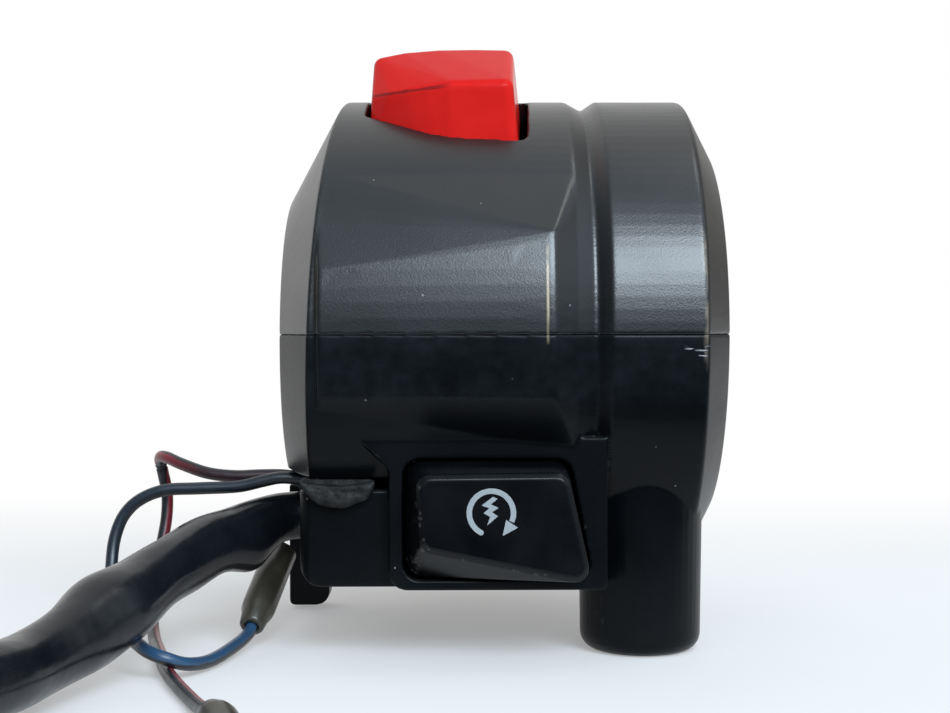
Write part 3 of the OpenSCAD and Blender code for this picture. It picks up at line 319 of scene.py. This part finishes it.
# The sides of a tube are counted from its upper front side; a stripe may be turned from there.
def swept_tube(name, points, radius, spacing, sides, finish, turned=0.0):
    upper_front = (0.02, -0.6, 0.8)
    route, run = smooth_route(points, spacing)
    ahead = np.gradient(route, axis=0)
    ahead /= np.linalg.norm(ahead, axis=1)[:, None]
    corners, wraps = [], []
    for point, heading, far in zip(route, ahead, run):
        side = np.asarray(upper_front) - heading * np.dot(heading, upper_front)
        side /= np.linalg.norm(side)
        up = np.cross(heading, side)
        for k in range(sides):
            angle = 2 * math.pi * k / sides
            width = radius(far / mm, angle) * mm if callable(radius) else radius
            corners.append(point + width * (math.cos(angle) * side + math.sin(angle) * up))
            wraps.append((math.cos(angle - turned), math.sin(angle - turned), far / mm))
    faces = []
    for i in range(len(route) - 1):
        for k in range(sides):
            a, b = i * sides + k, i * sides + (k + 1) % sides
            faces.append((a, b, b + sides, a + sides))
    faces.append(tuple(reversed(range(sides))))
    faces.append(tuple(range(len(corners) - sides, len(corners))))
    mesh = bpy.data.meshes.new(name)
    mesh.from_pydata([tuple(c) for c in corners], [], faces)
    mesh.attributes.new("wrap", "FLOAT_VECTOR", "POINT")
    mesh.attributes["wrap"].data.foreach_set("vector", np.asarray(wraps).ravel())
    mesh.shade_smooth()
    mesh.materials.append(finish)
    return put_in(name, mesh), route


spring_wire = 0.5 * mm
spring_sides = 8


def spring_points(outer, length, curls):
    steps_each = 24
    r = (outer - spring_wire) / 2
    turns = np.linspace(0, 2 * math.pi * curls, steps_each * curls + 1)
    rise = np.linspace(spring_wire / 2, length - spring_wire / 2, len(turns))
    return np.column_stack([r * np.cos(turns), r * np.sin(turns), rise])


button_stem = (5.2 * mm, -18.6 * mm)
spring_front, spring_back = -19.95 * mm, -9.75 * mm
button_spring_d, button_spring_curls = 4 * mm, 7
standing = spring_points(button_spring_d, spring_back - spring_front, button_spring_curls)
wound = np.column_stack([standing[:, 0] + button_stem[0], standing[:, 2] + spring_front,
                         button_stem[1] - standing[:, 1]])
starter_coil, _ = swept_tube("starter_coil", wound, spring_wire / 2, 0.25 * mm, spring_sides, spring_steel)
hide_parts("starter_spring")
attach(starter_coil, "case")
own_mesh(starter_coil)

stop_lean, rocker_tilt = math.radians(18), math.radians(-4)
rocker_x, pivot_height, spring_foot = 1.55 * mm, 21 * mm, 1.05 * mm
rocker_spring_d, rocker_spring_length, rocker_spring_curls = 2.3 * mm, 4.85 * mm, 5
standing = spring_points(rocker_spring_d, rocker_spring_length, rocker_spring_curls)
seat = (Matrix.Rotation(stop_lean, 4, "X") @ Matrix.Translation((rocker_x, 0, pivot_height))
        @ Matrix.Rotation(rocker_tilt, 4, "Y") @ Matrix.Translation((0, 0, spring_foot)))
wound = [tuple(seat @ Vector(p)) for p in standing]
rocker_coil, _ = swept_tube("rocker_coil", wound, spring_wire / 2, 0.2 * mm, spring_sides, spring_steel)
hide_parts("stop_spring")
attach(rocker_coil, "stop_rocker")


# Stop rocker: a glossy red cap moulded in one piece with its trunnions, a crowned top and a crease in front
# where the thumb pushes. It swings in the ears of its contact base. Dirt sits in a scratch along the crease.
rocker_red, tree, surface = new_finish("rocker_red")
# The red on faces turned upward is darker: painted shade on the crowned top.
red_dark, red_light, red_shaded_top = (0.58, 0.013, 0.011), (0.66, 0.017, 0.014), (0.46, 0.007, 0.006)
flow = noise(tree, 6 * mm, 3)
red = over(tree, facing_up(tree, 0.3, 0.85), ramp(tree, flow, 0.3, 0.7, red_dark, red_light), red_shaded_top)
scratch_facing, scratch_off = (0.1429, 0.1576, -0.9771), 28.96 * mm
scratch_core, scratch_edge, scratch_waver = 0.08 * mm, 0.22 * mm, 0.1 * mm
scratch_left, scratch_right, scratch_fade = -6.4 * mm, 0.5 * mm, 1.8 * mm
scratch_dirt, dirt_share = (0.1, 0.012, 0.012), 0.7
aside = add(tree, "VectorMath", {"operation": "DOT_PRODUCT"})
join(tree, place(tree), aside.inputs[0])
join(tree, scratch_facing, aside.inputs[1])
apart = add(tree, "Math", {"operation": "ABSOLUTE"})
join(tree, sums(tree, "ADD", aside.outputs["Value"], scratch_off), apart.inputs[0])
wavering = span(tree, noise(tree, 1.5 * mm, 3, stretched(tree, (0.4, 0.4, 1))), 0.3, 0.7,
                -scratch_waver, scratch_waver)
thin = span(tree, sums(tree, "ADD", apart.outputs[0], wavering), scratch_core, scratch_edge, 1, 0)
dirt = times(tree, thin, within(tree, "X", scratch_left, scratch_right, scratch_fade), dirt_share)
feed(tree, surface, Base_Color=over(tree, dirt, red, scratch_dirt), Specular_IOR_Level=0.05,
     Roughness=span(tree, noise(tree, 3 * mm, 5), 0.3, 0.75, 0.16, 0.26),
     Normal=bumps(tree, noise(tree, 2.5 * mm, 3), 0.05 * mm, 0.25))
rocker_voxel, rocker_passes = 0.15 * mm, 8
rocker = rounded_copy("stop_rocker", "rocker_cap", rocker_voxel, rocker_passes)
rocker.data.materials.append(rocker_red)
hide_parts("stop_rocker")
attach(rocker, "stop_rocker")


# Starter button: a wedge-shaped push button in black nylon, smoother than the case, that slides in the
# pod on its stem. The sign on its flat face is printed in pale grey.
button_black, tree, surface = new_finish("button_black")
button_dark, button_light = (0.0016, 0.002, 0.0026), (0.0032, 0.0036, 0.0044)
button_rubbed, rubbed_share = (0.09, 0.085, 0.08), 0.35
smears = noise(tree, 5 * mm, 4)
matt = ramp(tree, smears, 0.3, 0.7, button_dark, button_light)
rubbed = times(tree, worn_edges(tree, 0.53, 0.6), rubbed_share)
feed(tree, surface, Base_Color=over(tree, rubbed, matt, button_rubbed), IOR=1.28,
     Roughness=span(tree, smears, 0.3, 0.7, 0.2, 0.3),
     Normal=bumps(tree, noise(tree, 0.18 * mm, 2), 0.01 * mm, 0.4))
button_voxel, button_passes = 0.14 * mm, 3
button = rounded_copy("starter_button", "button_cap", button_voxel, button_passes)
button.data.materials.append(button_black)
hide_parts("starter_button")
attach(button, "starter_button")

sign_grey, tree, surface = new_finish("sign_grey")
ink_thin, ink_full = (0.24, 0.262, 0.276), (0.29, 0.315, 0.33)
inked = noise(tree, 0.4 * mm, 4)
feed(tree, surface, Base_Color=ramp(tree, inked, 0.3, 0.75, ink_thin, ink_full), Roughness=0.6)
sign_centre = (6.2, -18.1)
sign_y = -29.22 * mm
ring_r, half_stroke = 2.245, 0.557 / 2
ring_from, ring_to, ring_steps, tail_steps = -118, -383, 48, 8
arrowhead = [(1.5, -0.68), (2.71, -1.48), (1.14, -2.33)]
bolt = [(0.145, 1.67), (0.63, 1.454), (-0.048, 0.897), (0.727, 0.533), (0.073, 0.097), (0.679, -0.315),
        (-0.436, -1.26), (-0.121, -0.388), (-0.776, 0), (-0.218, 0.509), (-0.994, 0.776)]
sign = bmesh.new()


def printed(outline):
    sign.faces.new([sign.verts.new(((sign_centre[0] + x) * mm, sign_y, (sign_centre[1] + z) * mm))
                    for x, z in outline])


sweep = np.radians(np.linspace(ring_from, ring_to, ring_steps + 1))
for a, b in zip(sweep, sweep[1:]):
    printed([((ring_r + out) * math.cos(t), (ring_r + out) * math.sin(t))
             for t, out in ((a, half_stroke), (b, half_stroke), (b, -half_stroke), (a, -half_stroke))])
tail = (ring_r * math.cos(sweep[0]), ring_r * math.sin(sweep[0]))
printed([(tail[0] + half_stroke * math.cos(t), tail[1] + half_stroke * math.sin(t))
         for t in np.linspace(sweep[0], sweep[0] + math.pi, tail_steps + 1)])
printed(arrowhead)
printed(bolt)
for face in sign.faces:
    face.normal_update()
    if face.normal.y > 0:
        face.normal_flip()
bmesh.ops.triangulate(sign, faces=sign.faces)
sign_mesh = bpy.data.meshes.new("starter_sign")
sign.to_mesh(sign_mesh)
sign.free()
sign_mesh.materials.append(sign_grey)
starter_sign = put_in("starter_sign", sign_mesh)
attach(starter_sign, "starter_button")


# Inner leads: thin stranded copper wires in extruded black vinyl with a pale stripe.
# They are fixed to the contacts' tags, lie loose in the case and run to the harness. Routes are in mm.
wire_d = 1.4 * mm
vinyl_dark, vinyl_light, stripe_rubbed = (0.004, 0.006, 0.008), (0.009, 0.012, 0.015), (0.02, 0.02, 0.025)
stripe_ragged, stripe_soft, stripe_faint, faint_fade = 0.12, 0.06, 0.12, 3


# A stripe covers the sides of a tube whose cosine is above its edge, and is faint up to a length in mm.
def striped_vinyl(name, stripe, edge, faint_until=0.0):
    finish, tree, surface = new_finish(name)
    wrap = add(tree, "Attribute", {"attribute_name": "wrap"}).outputs["Vector"]
    sides = add(tree, "SeparateXYZ", Vector=wrap).outputs
    shift = span(tree, noise(tree, 1.2 * mm, 3), 0, 1, -stripe_ragged, stripe_ragged)
    ragged = sums(tree, "ADD", sides["X"], shift)
    fresh = span(tree, sides["Z"], faint_until - faint_fade, faint_until + faint_fade, stripe_faint, 1)
    band = times(tree, span(tree, ragged, edge - stripe_soft, edge + stripe_soft), fresh)
    dull = noise(tree, 2 * mm, 4)
    black = ramp(tree, dull, 0.3, 0.7, vinyl_dark, vinyl_light)
    dyed = over(tree, span(tree, dull, 0.3, 0.7, 0, 0.35), stripe, stripe_rubbed)
    feed(tree, surface, Base_Color=over(tree, band, black, dyed),
         Roughness=span(tree, dull, 0.3, 0.7, 0.3, 0.42))
    return finish


lead_vinyl = striped_vinyl("lead_vinyl", (0.3, 0.3, 0.28), 0.75)
end_x = -9.6
stop_leads = [
    [(-2.95, -11.84, 9.75), (-2.95, -13.36, 9.26), (-3.6, -14.5, 7), (-3.8, -14.7, 4), (-3.8, -14.3, 0),
     (-3.8, -13.9, -5), (-4.2, -13, -9.5), (-5.2, -11.4, -13.6), (-6.6, -10.3, -17), (-7.6, -9.9, -19),
     (-8.6, -9.9, -19.9), (end_x, -9.9, -19.9)],
    [(6.05, -11.84, 9.75), (6.05, -13.36, 9.26), (4.4, -14.8, 7.6), (1.8, -15, 6), (-0.6, -14.8, 3.4),
     (-1.8, -14.4, 0), (-1.9, -14, -5), (-2.4, -12.8, -9.6), (-3.4, -10.4, -13.6), (-5, -8.6, -17),
     (-6.8, -8.1, -19.2), (-8.6, -8.1, -19.9), (end_x, -8.1, -19.9)]]
starter_leads = [
    [(1.8, -7.6, -18.6), (1.8, -6.2, -18.6), (0.6, -5.2, -19.4), (-2, -5.8, -20.6), (-4.6, -6.8, -21.4),
     (-7, -7.8, -21.7), (-8.6, -8.1, -21.7), (end_x, -8.1, -21.7)],
    [(8.6, -7.6, -18.6), (8.6, -6.2, -18.6), (7.4, -4.8, -19.8), (4, -4.6, -21.2), (0.6, -5.4, -22),
     (-3, -7.5, -22.6), (-6, -9.4, -22.6), (-8.6, -9.9, -21.7), (end_x, -9.9, -21.7)]]
lead_spacing, lead_sides = 0.8 * mm, 10
for node, routes in (("stop_leads", stop_leads), ("starter_leads", starter_leads)):
    for number, route in enumerate(routes):
        lead, _ = swept_tube(f"{node}_{number}", np.asarray(route) * mm, wire_d / 2, lead_spacing, lead_sides,
                             lead_vinyl)
        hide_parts(node)
        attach(lead, "case")


# Grommet: a soft moulded rubber plug that seals the lead outlet, with a crescent lip that shows in front.
# Its skin is rough, and dust has settled in it.
grommet_rubber, tree, surface = new_finish("grommet_rubber")
rubber_dark, rubber_light, rubber_dust = (0.005, 0.005, 0.005), (0.02, 0.02, 0.019), (0.22, 0.21, 0.18)
crumbs = noise(tree, 0.9 * mm, 8)
pits = noise(tree, 0.3 * mm, 4)
rubber = ramp(tree, crumbs, 0.35, 0.7, rubber_dark, rubber_light)
coarse = bumps(tree, crumbs, 0.35 * mm, 0.7)
feed(tree, surface, Base_Color=over(tree, specks(tree, 0.8 * mm, 0.14 * mm, 0.12), rubber, rubber_dust),
     Roughness=0.6, Specular_IOR_Level=0.2, Normal=bumps(tree, pits, 0.1 * mm, 0.6, coarse))
grommet_voxel, grommet_passes = 0.18 * mm, 18
grommet = rounded_copy("harness_grommet", "outlet_grommet", grommet_voxel, grommet_passes)
lip_front, lip_middle, lip_half = -24 * mm, -9.9 * mm, 4 * mm
lip_low, lip_rise, lip_hollow = -17 * mm, 1.7 * mm, 0.5 * mm
droop, droop_from, droop_over = 0.7 * mm, 0.55, 0.4
dent, dent_size = 0.16 * mm, 0.7 * mm
ripple, ripple_size = 0.1 * mm, 0.9 * mm
for corner in grommet.data.vertices:
    at = corner.co.copy()
    if at.y < lip_front:
        across = (at.x - lip_middle) / lip_half
        topmost = min(max((at.z - lip_low) / lip_rise, 0), 1)
        corner.co.z -= lip_hollow * max(1 - across ** 2, 0) * topmost
        corner.co.z -= droop * min(max(across - droop_from, 0) / droop_over, 1) * (1 - topmost)
        corner.co.y += dent * (1 + unevenness.noise(at / dent_size))
        corner.co.z += ripple * unevenness.noise(at / ripple_size)
grommet.data.materials.append(grommet_rubber)
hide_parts("harness_grommet")
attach(grommet, "case")


# Harness: a bundle of wires in a soft black vinyl sleeve that comes out of the grommet, swells where the
# wires bunch up, and runs down to the table. The rest is coiled and ends in a plug.
harness_vinyl, tree, surface = new_finish("harness_vinyl")
sleeve_dark, sleeve_light = (0.003, 0.004, 0.0055), (0.007, 0.0085, 0.0105)
drag = noise(tree, 5 * mm, 5)
lumps = bumps(tree, noise(tree, 5 * mm, 2), 0.5 * mm, 0.4)
feed(tree, surface, Base_Color=ramp(tree, drag, 0.3, 0.7, sleeve_dark, sleeve_light), IOR=1.42,
     Roughness=span(tree, noise(tree, 2 * mm, 4), 0.3, 0.7, 0.18, 0.3),
     Normal=bumps(tree, noise(tree, 0.5 * mm, 3), 0.02 * mm, 0.4, lumps))

harness_d, neck_d = 7.0, 5.4
floor_z = -34.7
coil_z = floor_z + 4.4
coil_centre = np.array((-84.5, -48.4, 0.0))
coil_r, coil_step, coil_angle = 38.5, 8.0, math.radians(-40)
coil_rings, coil_last = 24, 26
curl_r, curl_turn, curl_steps = 18.0, math.radians(110), 8
mouth = np.array((-14, -9, -20.8))


def on_circle(centre, r, angle):
    return np.array((centre[0] + r * math.cos(angle), centre[1] + r * math.sin(angle), coil_z))


def from_mouth(points):
    return [tuple(mouth + p) for p in points]


def on_floor(points, z):
    return [(mouth[0] + x, mouth[1] + y, z) for x, y in points]


coil_heading = np.array((math.sin(coil_angle), -math.cos(coil_angle), 0))
coil_start = on_circle(coil_centre, coil_r, coil_angle)
coil_points = [on_circle(coil_centre, coil_r - coil_step * i / coil_rings,
                         coil_angle - 2 * math.pi * i / coil_rings) for i in range(coil_last + 1)]
close_angle = coil_angle - 2 * math.pi * coil_last / coil_rings
curl_centre = on_circle(coil_centre, coil_r - coil_step * coil_last / coil_rings - curl_r, close_angle)
curl_points = [on_circle(curl_centre, curl_r, close_angle - curl_turn * i / curl_steps)
               for i in range(1, curl_steps + 1)]
plug_angle = close_angle - curl_turn
plug_heading = np.array((math.sin(plug_angle), -math.cos(plug_angle), 0))
harness_route = [(end_x, -9, -20.8)] + from_mouth([
    (1, 0, 0), (-1.5, -0.1, 0), (-3.6, -0.9, -0.1), (-5.6, -2.6, -0.5), (-7.6, -5, -1.1), (-9.5, -8, -1.8),
    (-11.3, -11.2, -2.6), (-13, -14.5, -3.5), (-14.7, -18, -4.5), (-16.4, -21.6, -5.6), (-18.1, -25.1, -6.8),
    (-19.8, -28.8, -8.1), (-21.5, -32.4, -9.1)])
harness_route += on_floor([(-23.1, -36.4), (-24.8, -42.2)], coil_z)
harness_route += [coil_start - back * harness_d * coil_heading for back in (3, 2, 1)]
harness_route += coil_points + curl_points + [curl_points[-1] + harness_d * plug_heading]

bulge_at, bulge_reach, bulge_share = 37, 5, 0.18
neck_until, neck_fade = 16, 3
loose_from, loose_fade = 11, 2
fold_at, fold_reach, fold_height, fold_side = 13.5, 3.4, 1.9, math.radians(-150)
long_wave, long_pace = 0.03, 0.33
short_wave, short_pace = 0.02, 0.71
slack, seen_until, most_swell = 0.02, 60, 0.03


def eased(s, start, fade):
    well_past = 60
    return 1 / (1 + math.exp(-min(s - start, well_past) / fade))


def heaped(s, middle, spread):
    return math.exp(-((s - middle) / spread) ** 2)


def sleeve_radius(s, angle):
    bulge = 1 + bulge_share * heaped(s, bulge_at, bulge_reach)
    neck = (harness_d - neck_d) / 2 * (1 - eased(s, neck_until, neck_fade))
    waves = long_wave * math.sin(long_pace * s + 2 * angle) + short_wave * math.sin(short_pace * s - angle + 1)
    swell = min(waves - slack, most_swell if s < seen_until else 0)
    fold = fold_height * heaped(s, fold_at, fold_reach) * max(0, math.cos(angle - fold_side)) ** 2
    return fold + (harness_d / 2 * bulge - neck) * (1 + eased(s, loose_from, loose_fade) * swell)


harness_spacing, harness_sides = 1.0 * mm, 32
harness, harness_path = swept_tube("harness_sleeve", np.asarray(harness_route) * mm, sleeve_radius,
                                   harness_spacing, harness_sides, harness_vinyl)
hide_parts("harness", "harness_coil")
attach(harness, "case")


# Plug and strap: an ivory nylon housing, moulded with a cavity for each crimped terminal, on the harness's
# end, and a moulded nylon strap that holds the coiled rest together.
plug_ivory, tree, surface = new_finish("plug_ivory")
ivory_dark, ivory_light = (0.56, 0.52, 0.43), (0.65, 0.62, 0.53)
milky = noise(tree, 4 * mm, 3)
feed(tree, surface, Base_Color=ramp(tree, milky, 0.3, 0.7, ivory_dark, ivory_light), Roughness=0.42,
     Normal=bumps(tree, noise(tree, 0.4 * mm, 2), 0.02 * mm, 0.4))
for node in ("harness_plug", "harness_tie"):
    dress(node, plug_ivory)


# Brake-light wires: two single stranded wires in black vinyl, one with a blue and one with a red stripe. They
# come out above the harness, loop down under it and end in bullet connectors. A clear vinyl tube, gone olive
# with age, is slipped over the crimped brass end of each.
blue_vinyl = striped_vinyl("blue_vinyl", (0.02, 0.06, 0.12), 0.4, 44)
red_vinyl = striped_vinyl("red_vinyl", (0.2, 0.016, 0.025), 0.55, 20)
wire_floor = floor_z + 0.8
sleeve_floor = floor_z + 1.9
blue_route = [(end_x, -10.9, -16.5)] + from_mouth([
    (1, -1.9, 4.3), (-1.5, -1.9, 4.4), (-3.5, -2, 4.5), (-5.5, -2, 4.1), (-8.3, -2, 3.5), (-12.8, -2, 3.3),
    (-16.6, -2, 3.1), (-19.4, -2, 2), (-21.2, -2, 0.2), (-22.1, -2.4, -2.2), (-22.3, -3.2, -4.8),
    (-22, -4.8, -7.4), (-21.1, -7.6, -9.4), (-19.5, -11.6, -10.4), (-17.7, -16, -10.5), (-15.9, -19.6, -10.6),
    (-14.4, -21.6, -11), (-12.5, -22.5, -11.5), (-10.7, -21, -12.4), (-9, -17.5, -12.9), (-7.4, -12.8, -12.6),
    (-6.2, -8.36, -11.93), (-5.78, -6.2, -10.55)])
red_route = [(end_x, -9.2, -16.5)] + from_mouth([
    (1, -0.2, 4.3), (-1.5, -0.2, 4.4), (-3.5, -0.2, 4.6), (-6, -0.2, 4.6), (-8.8, -0.1, 4.5), (-12, 0.4, 4.8),
    (-15.2, 1.7, 5.7), (-17.5, 3.5, 6.4), (-18.6, 5.8, 6), (-18.6, 7.4, 4.2), (-18.2, 7.8, 1.6),
    (-18.2, 7.4, -1.2), (-18.5, 6.2, -4), (-18.8, 4.2, -6.8), (-18.6, 1.4, -9.6), (-18, -2, -12)])
red_route += on_floor([(-16.9, -6.1), (-15.8, -10), (-14.6, -14.2), (-13.1, -19.7), (-10.8, -26.1),
                       (-7.9, -33)], wire_floor)
red_route += on_floor([(-6, -37.9)], wire_floor + 0.4)
red_route += on_floor([(-4.7, -41.6), (-4.1, -43.4)], sleeve_floor)

sleeve_vinyl, tree, surface = new_finish("sleeve_vinyl")
olive_dark, olive_light = (0.032, 0.028, 0.02), (0.07, 0.062, 0.046)
aged = noise(tree, 3 * mm, 4, stretched(tree, (1, 1, 0.4)))
feed(tree, surface, Base_Color=ramp(tree, aged, 0.3, 0.7, olive_dark, olive_light), Roughness=0.3,
     Transmission_Weight=0.3)
sleeve_r, sleeve_len, sleeve_skin = 1.9 * mm, 12.5 * mm, 0.45 * mm
sleeve_back, sleeve_steps = 1.6 * mm, 40
mouth_r = wire_d / 2 + 0.05 * mm
sleeve_profile = [(mouth_r, 0), (mouth_r + 0.45 * mm, 0.05 * mm), (mouth_r + 0.62 * mm, 0.3 * mm),
                  (1.55 * mm, 1.7 * mm), (1.82 * mm, 2.5 * mm), (sleeve_r, 3.4 * mm), (sleeve_r, 7 * mm),
                  (sleeve_r, sleeve_len - 0.2 * mm), (sleeve_r - 0.2 * mm, sleeve_len),
                  (sleeve_r - sleeve_skin, sleeve_len - 0.1 * mm), (sleeve_r - sleeve_skin, 2.8 * mm),
                  (mouth_r, 1.5 * mm)]


def bullet_sleeve(name, end, heading):
    start = Vector(end) - sleeve_back * Vector(heading)
    turn = Vector((0, 0, 1)).rotation_difference(Vector(heading)).to_matrix().to_4x4()
    shape = bmesh.new()
    outline = [shape.verts.new((r, 0, z)) for r, z in sleeve_profile]
    edges = [shape.edges.new((a, b)) for a, b in zip(outline, outline[1:] + outline[:1])]
    bmesh.ops.spin(shape, geom=outline + edges, axis=(0, 0, 1), cent=(0, 0, 0), angle=2 * math.pi,
                   steps=sleeve_steps)
    bmesh.ops.remove_doubles(shape, verts=shape.verts, dist=0.001 * mm)
    bmesh.ops.recalc_face_normals(shape, faces=shape.faces)
    shape.transform(Matrix.Translation(start) @ turn)
    mesh = bpy.data.meshes.new(name)
    shape.to_mesh(mesh)
    shape.free()
    mesh.shade_smooth()
    mesh.materials.append(sleeve_vinyl)
    return put_in(name, mesh)


blue_turn, red_turn = 0, math.radians(-68)
wire_spacing, wire_sides = 0.6 * mm, 16
for colour, route, finish, turned in (("blue", blue_route, blue_vinyl, blue_turn),
                                      ("red", red_route, red_vinyl, red_turn)):
    route = np.asarray(route) * mm
    wire, wire_path = swept_tube(f"brake_wire_{colour}_skin", route, wire_d / 2, wire_spacing, wire_sides,
                                 finish, turned)
    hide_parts(f"brake_wire_{colour}")
    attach(wire, "case")
    heading = route[-1] - route[-2]
    sleeve = bullet_sleeve(f"{colour}_sleeve_skin", route[-1], heading / np.linalg.norm(heading))
    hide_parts(f"{colour}_wire_sleeve")
    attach(sleeve, "case")


# Studio: a pale table that the cluster stands on, near its front edge, with a cool window in front on the
# right, a small lamp above, a white board behind that ends on the right, and a dim room behind the camera.
def looked_at(tree, mirrored_share=1):
    rays = add(tree, "LightPath").outputs
    mirrored = times(tree, rays["Is Glossy Ray"], mirrored_share)
    return sums(tree, "MAXIMUM", rays["Is Camera Ray"],
                sums(tree, "MAXIMUM", mirrored, rays["Is Transmission Ray"]))


table_pale, tree, surface = new_finish("table_pale")
table_dark, table_light, white = (0.62, 0.62, 0.62), (0.66, 0.66, 0.66), (1, 1, 1)
clouded = noise(tree, 60 * mm, 3)
feed(tree, surface, Base_Color=ramp(tree, clouded, 0.3, 0.7, table_dark, table_light), Roughness=0.9,
     Specular_IOR_Level=0.1)
white_from, white_by, white_in_front = 20 * mm, 130 * mm, 0.3
depth = add(tree, "SeparateXYZ", Vector=place(tree)).outputs["Y"]
whiter = span(tree, depth, white_from, white_by, white_in_front, 1)
glow = add(tree, "Emission", Color=white, Strength=1.0)
whitened = add(tree, "MixShader")
tree.links.new(times(tree, looked_at(tree), whiter), whitened.inputs[0])
tree.links.new(surface.outputs[0], whitened.inputs[1])
tree.links.new(glow.outputs[0], whitened.inputs[2])
tree.links.new(whitened.outputs[0], tree.nodes["Material Output"].inputs["Surface"])
edge_point = Vector((48 * mm, -46 * mm, floor_z * mm))
edge_line = Vector((132, 51, 0)).normalized()
edge_inwards = Vector((-edge_line.y, edge_line.x, 0))
reach = 3.0
table_mesh = bpy.data.meshes.new("table")
table_mesh.from_pydata([edge_point - reach * edge_line, edge_point + reach * edge_line,
                        edge_point + reach * (edge_line + 2 * edge_inwards),
                        edge_point - reach * (edge_line - 2 * edge_inwards)], [], [(0, 1, 2, 3)])
table_mesh.materials.append(table_pale)
table = put_in("table", table_mesh)

world = bpy.data.worlds.new("studio")
bpy.context.scene.world = world
world.use_nodes = True
tree = world.node_tree
room_cool, board_warm = (0.78, 0.89, 1.0), (1.0, 0.98, 0.94)
board_ends, board_gone, past_board = 0.15, 0.6, 0.35
around = add(tree, "SeparateXYZ", Vector=add(tree, "TexCoord").outputs["Generated"]).outputs
backdrop = span(tree, around["Y"], -0.05, 0.3)
board = times(tree, backdrop, span(tree, around["X"], board_ends, board_gone, 1, 0))
seen = looked_at(tree, board)
front = times(tree, span(tree, around["Z"], -0.06, 0.2, 0.03, 1.2), span(tree, around["Z"], 0.6, 1, 1, 0.8),
              span(tree, around["X"], -0.7, -0.05, 0.3, 1))
rear = span(tree, around["X"], board_ends, board_gone, 1, past_board)
lit = sums(tree, "ADD", times(tree, front, sums(tree, "SUBTRACT", 1, backdrop)), times(tree, rear, backdrop))
cast = over(tree, backdrop, room_cool, board_warm)
feed(tree, tree.nodes["Background"], Strength=sums(tree, "MAXIMUM", seen, lit),
     Color=over(tree, seen, cast, white))


def soft_light(name, at, towards, size, power, colour):
    lamp = bpy.data.lights.new(name, "AREA")
    lamp.shape = "RECTANGLE"
    lamp.size, lamp.size_y = size
    lamp.energy = power
    lamp.color = colour
    stand = put_in(name, lamp)
    stand.location = at
    stand.rotation_euler = (Vector(towards) - Vector(at)).to_track_quat("-Z", "Y").to_euler()


soft_light("window", at=(0.17, -0.46, 0.31), towards=(0, 0, 0), size=(0.4, 0.24), power=4.4,
           colour=(0.76, 0.89, 1.0))
soft_light("ceiling_lamp", at=(0.2, -0.03, 0.46), towards=(-0.03, -0.03, -0.03), size=(0.08, 0.12),
           power=0.16, colour=(1.0, 0.97, 0.93))


# Camera: at the photograph's place, in front of the case and nearly level with the bar.
# Its place, lens and tilt were fitted to the barrel's outline, the parting line and the end faces.
focal_px, picture_px, sensor_mm = 1493.6, 950, 36
eye_at = (3.27 * mm, -180.49 * mm, 1.01 * mm)
yaw, pitch, roll = -0.0085, -0.0211, 0.0013
eye = bpy.data.cameras.new("eye")
eye.sensor_fit = "HORIZONTAL"
eye.sensor_width = sensor_mm
eye.lens = focal_px * sensor_mm / picture_px
eye.clip_start = 0.01
view = put_in("eye", eye)
aim = Matrix.Rotation(yaw, 4, "Z") @ Matrix.Rotation(pitch, 4, "X") @ Matrix.Rotation(roll, 4, "Y")
view.matrix_world = Matrix.Translation(eye_at) @ aim @ Matrix.Rotation(math.pi / 2, 4, "X")
bpy.context.scene.camera = view
bpy.context.scene.view_settings.view_transform = "Standard"
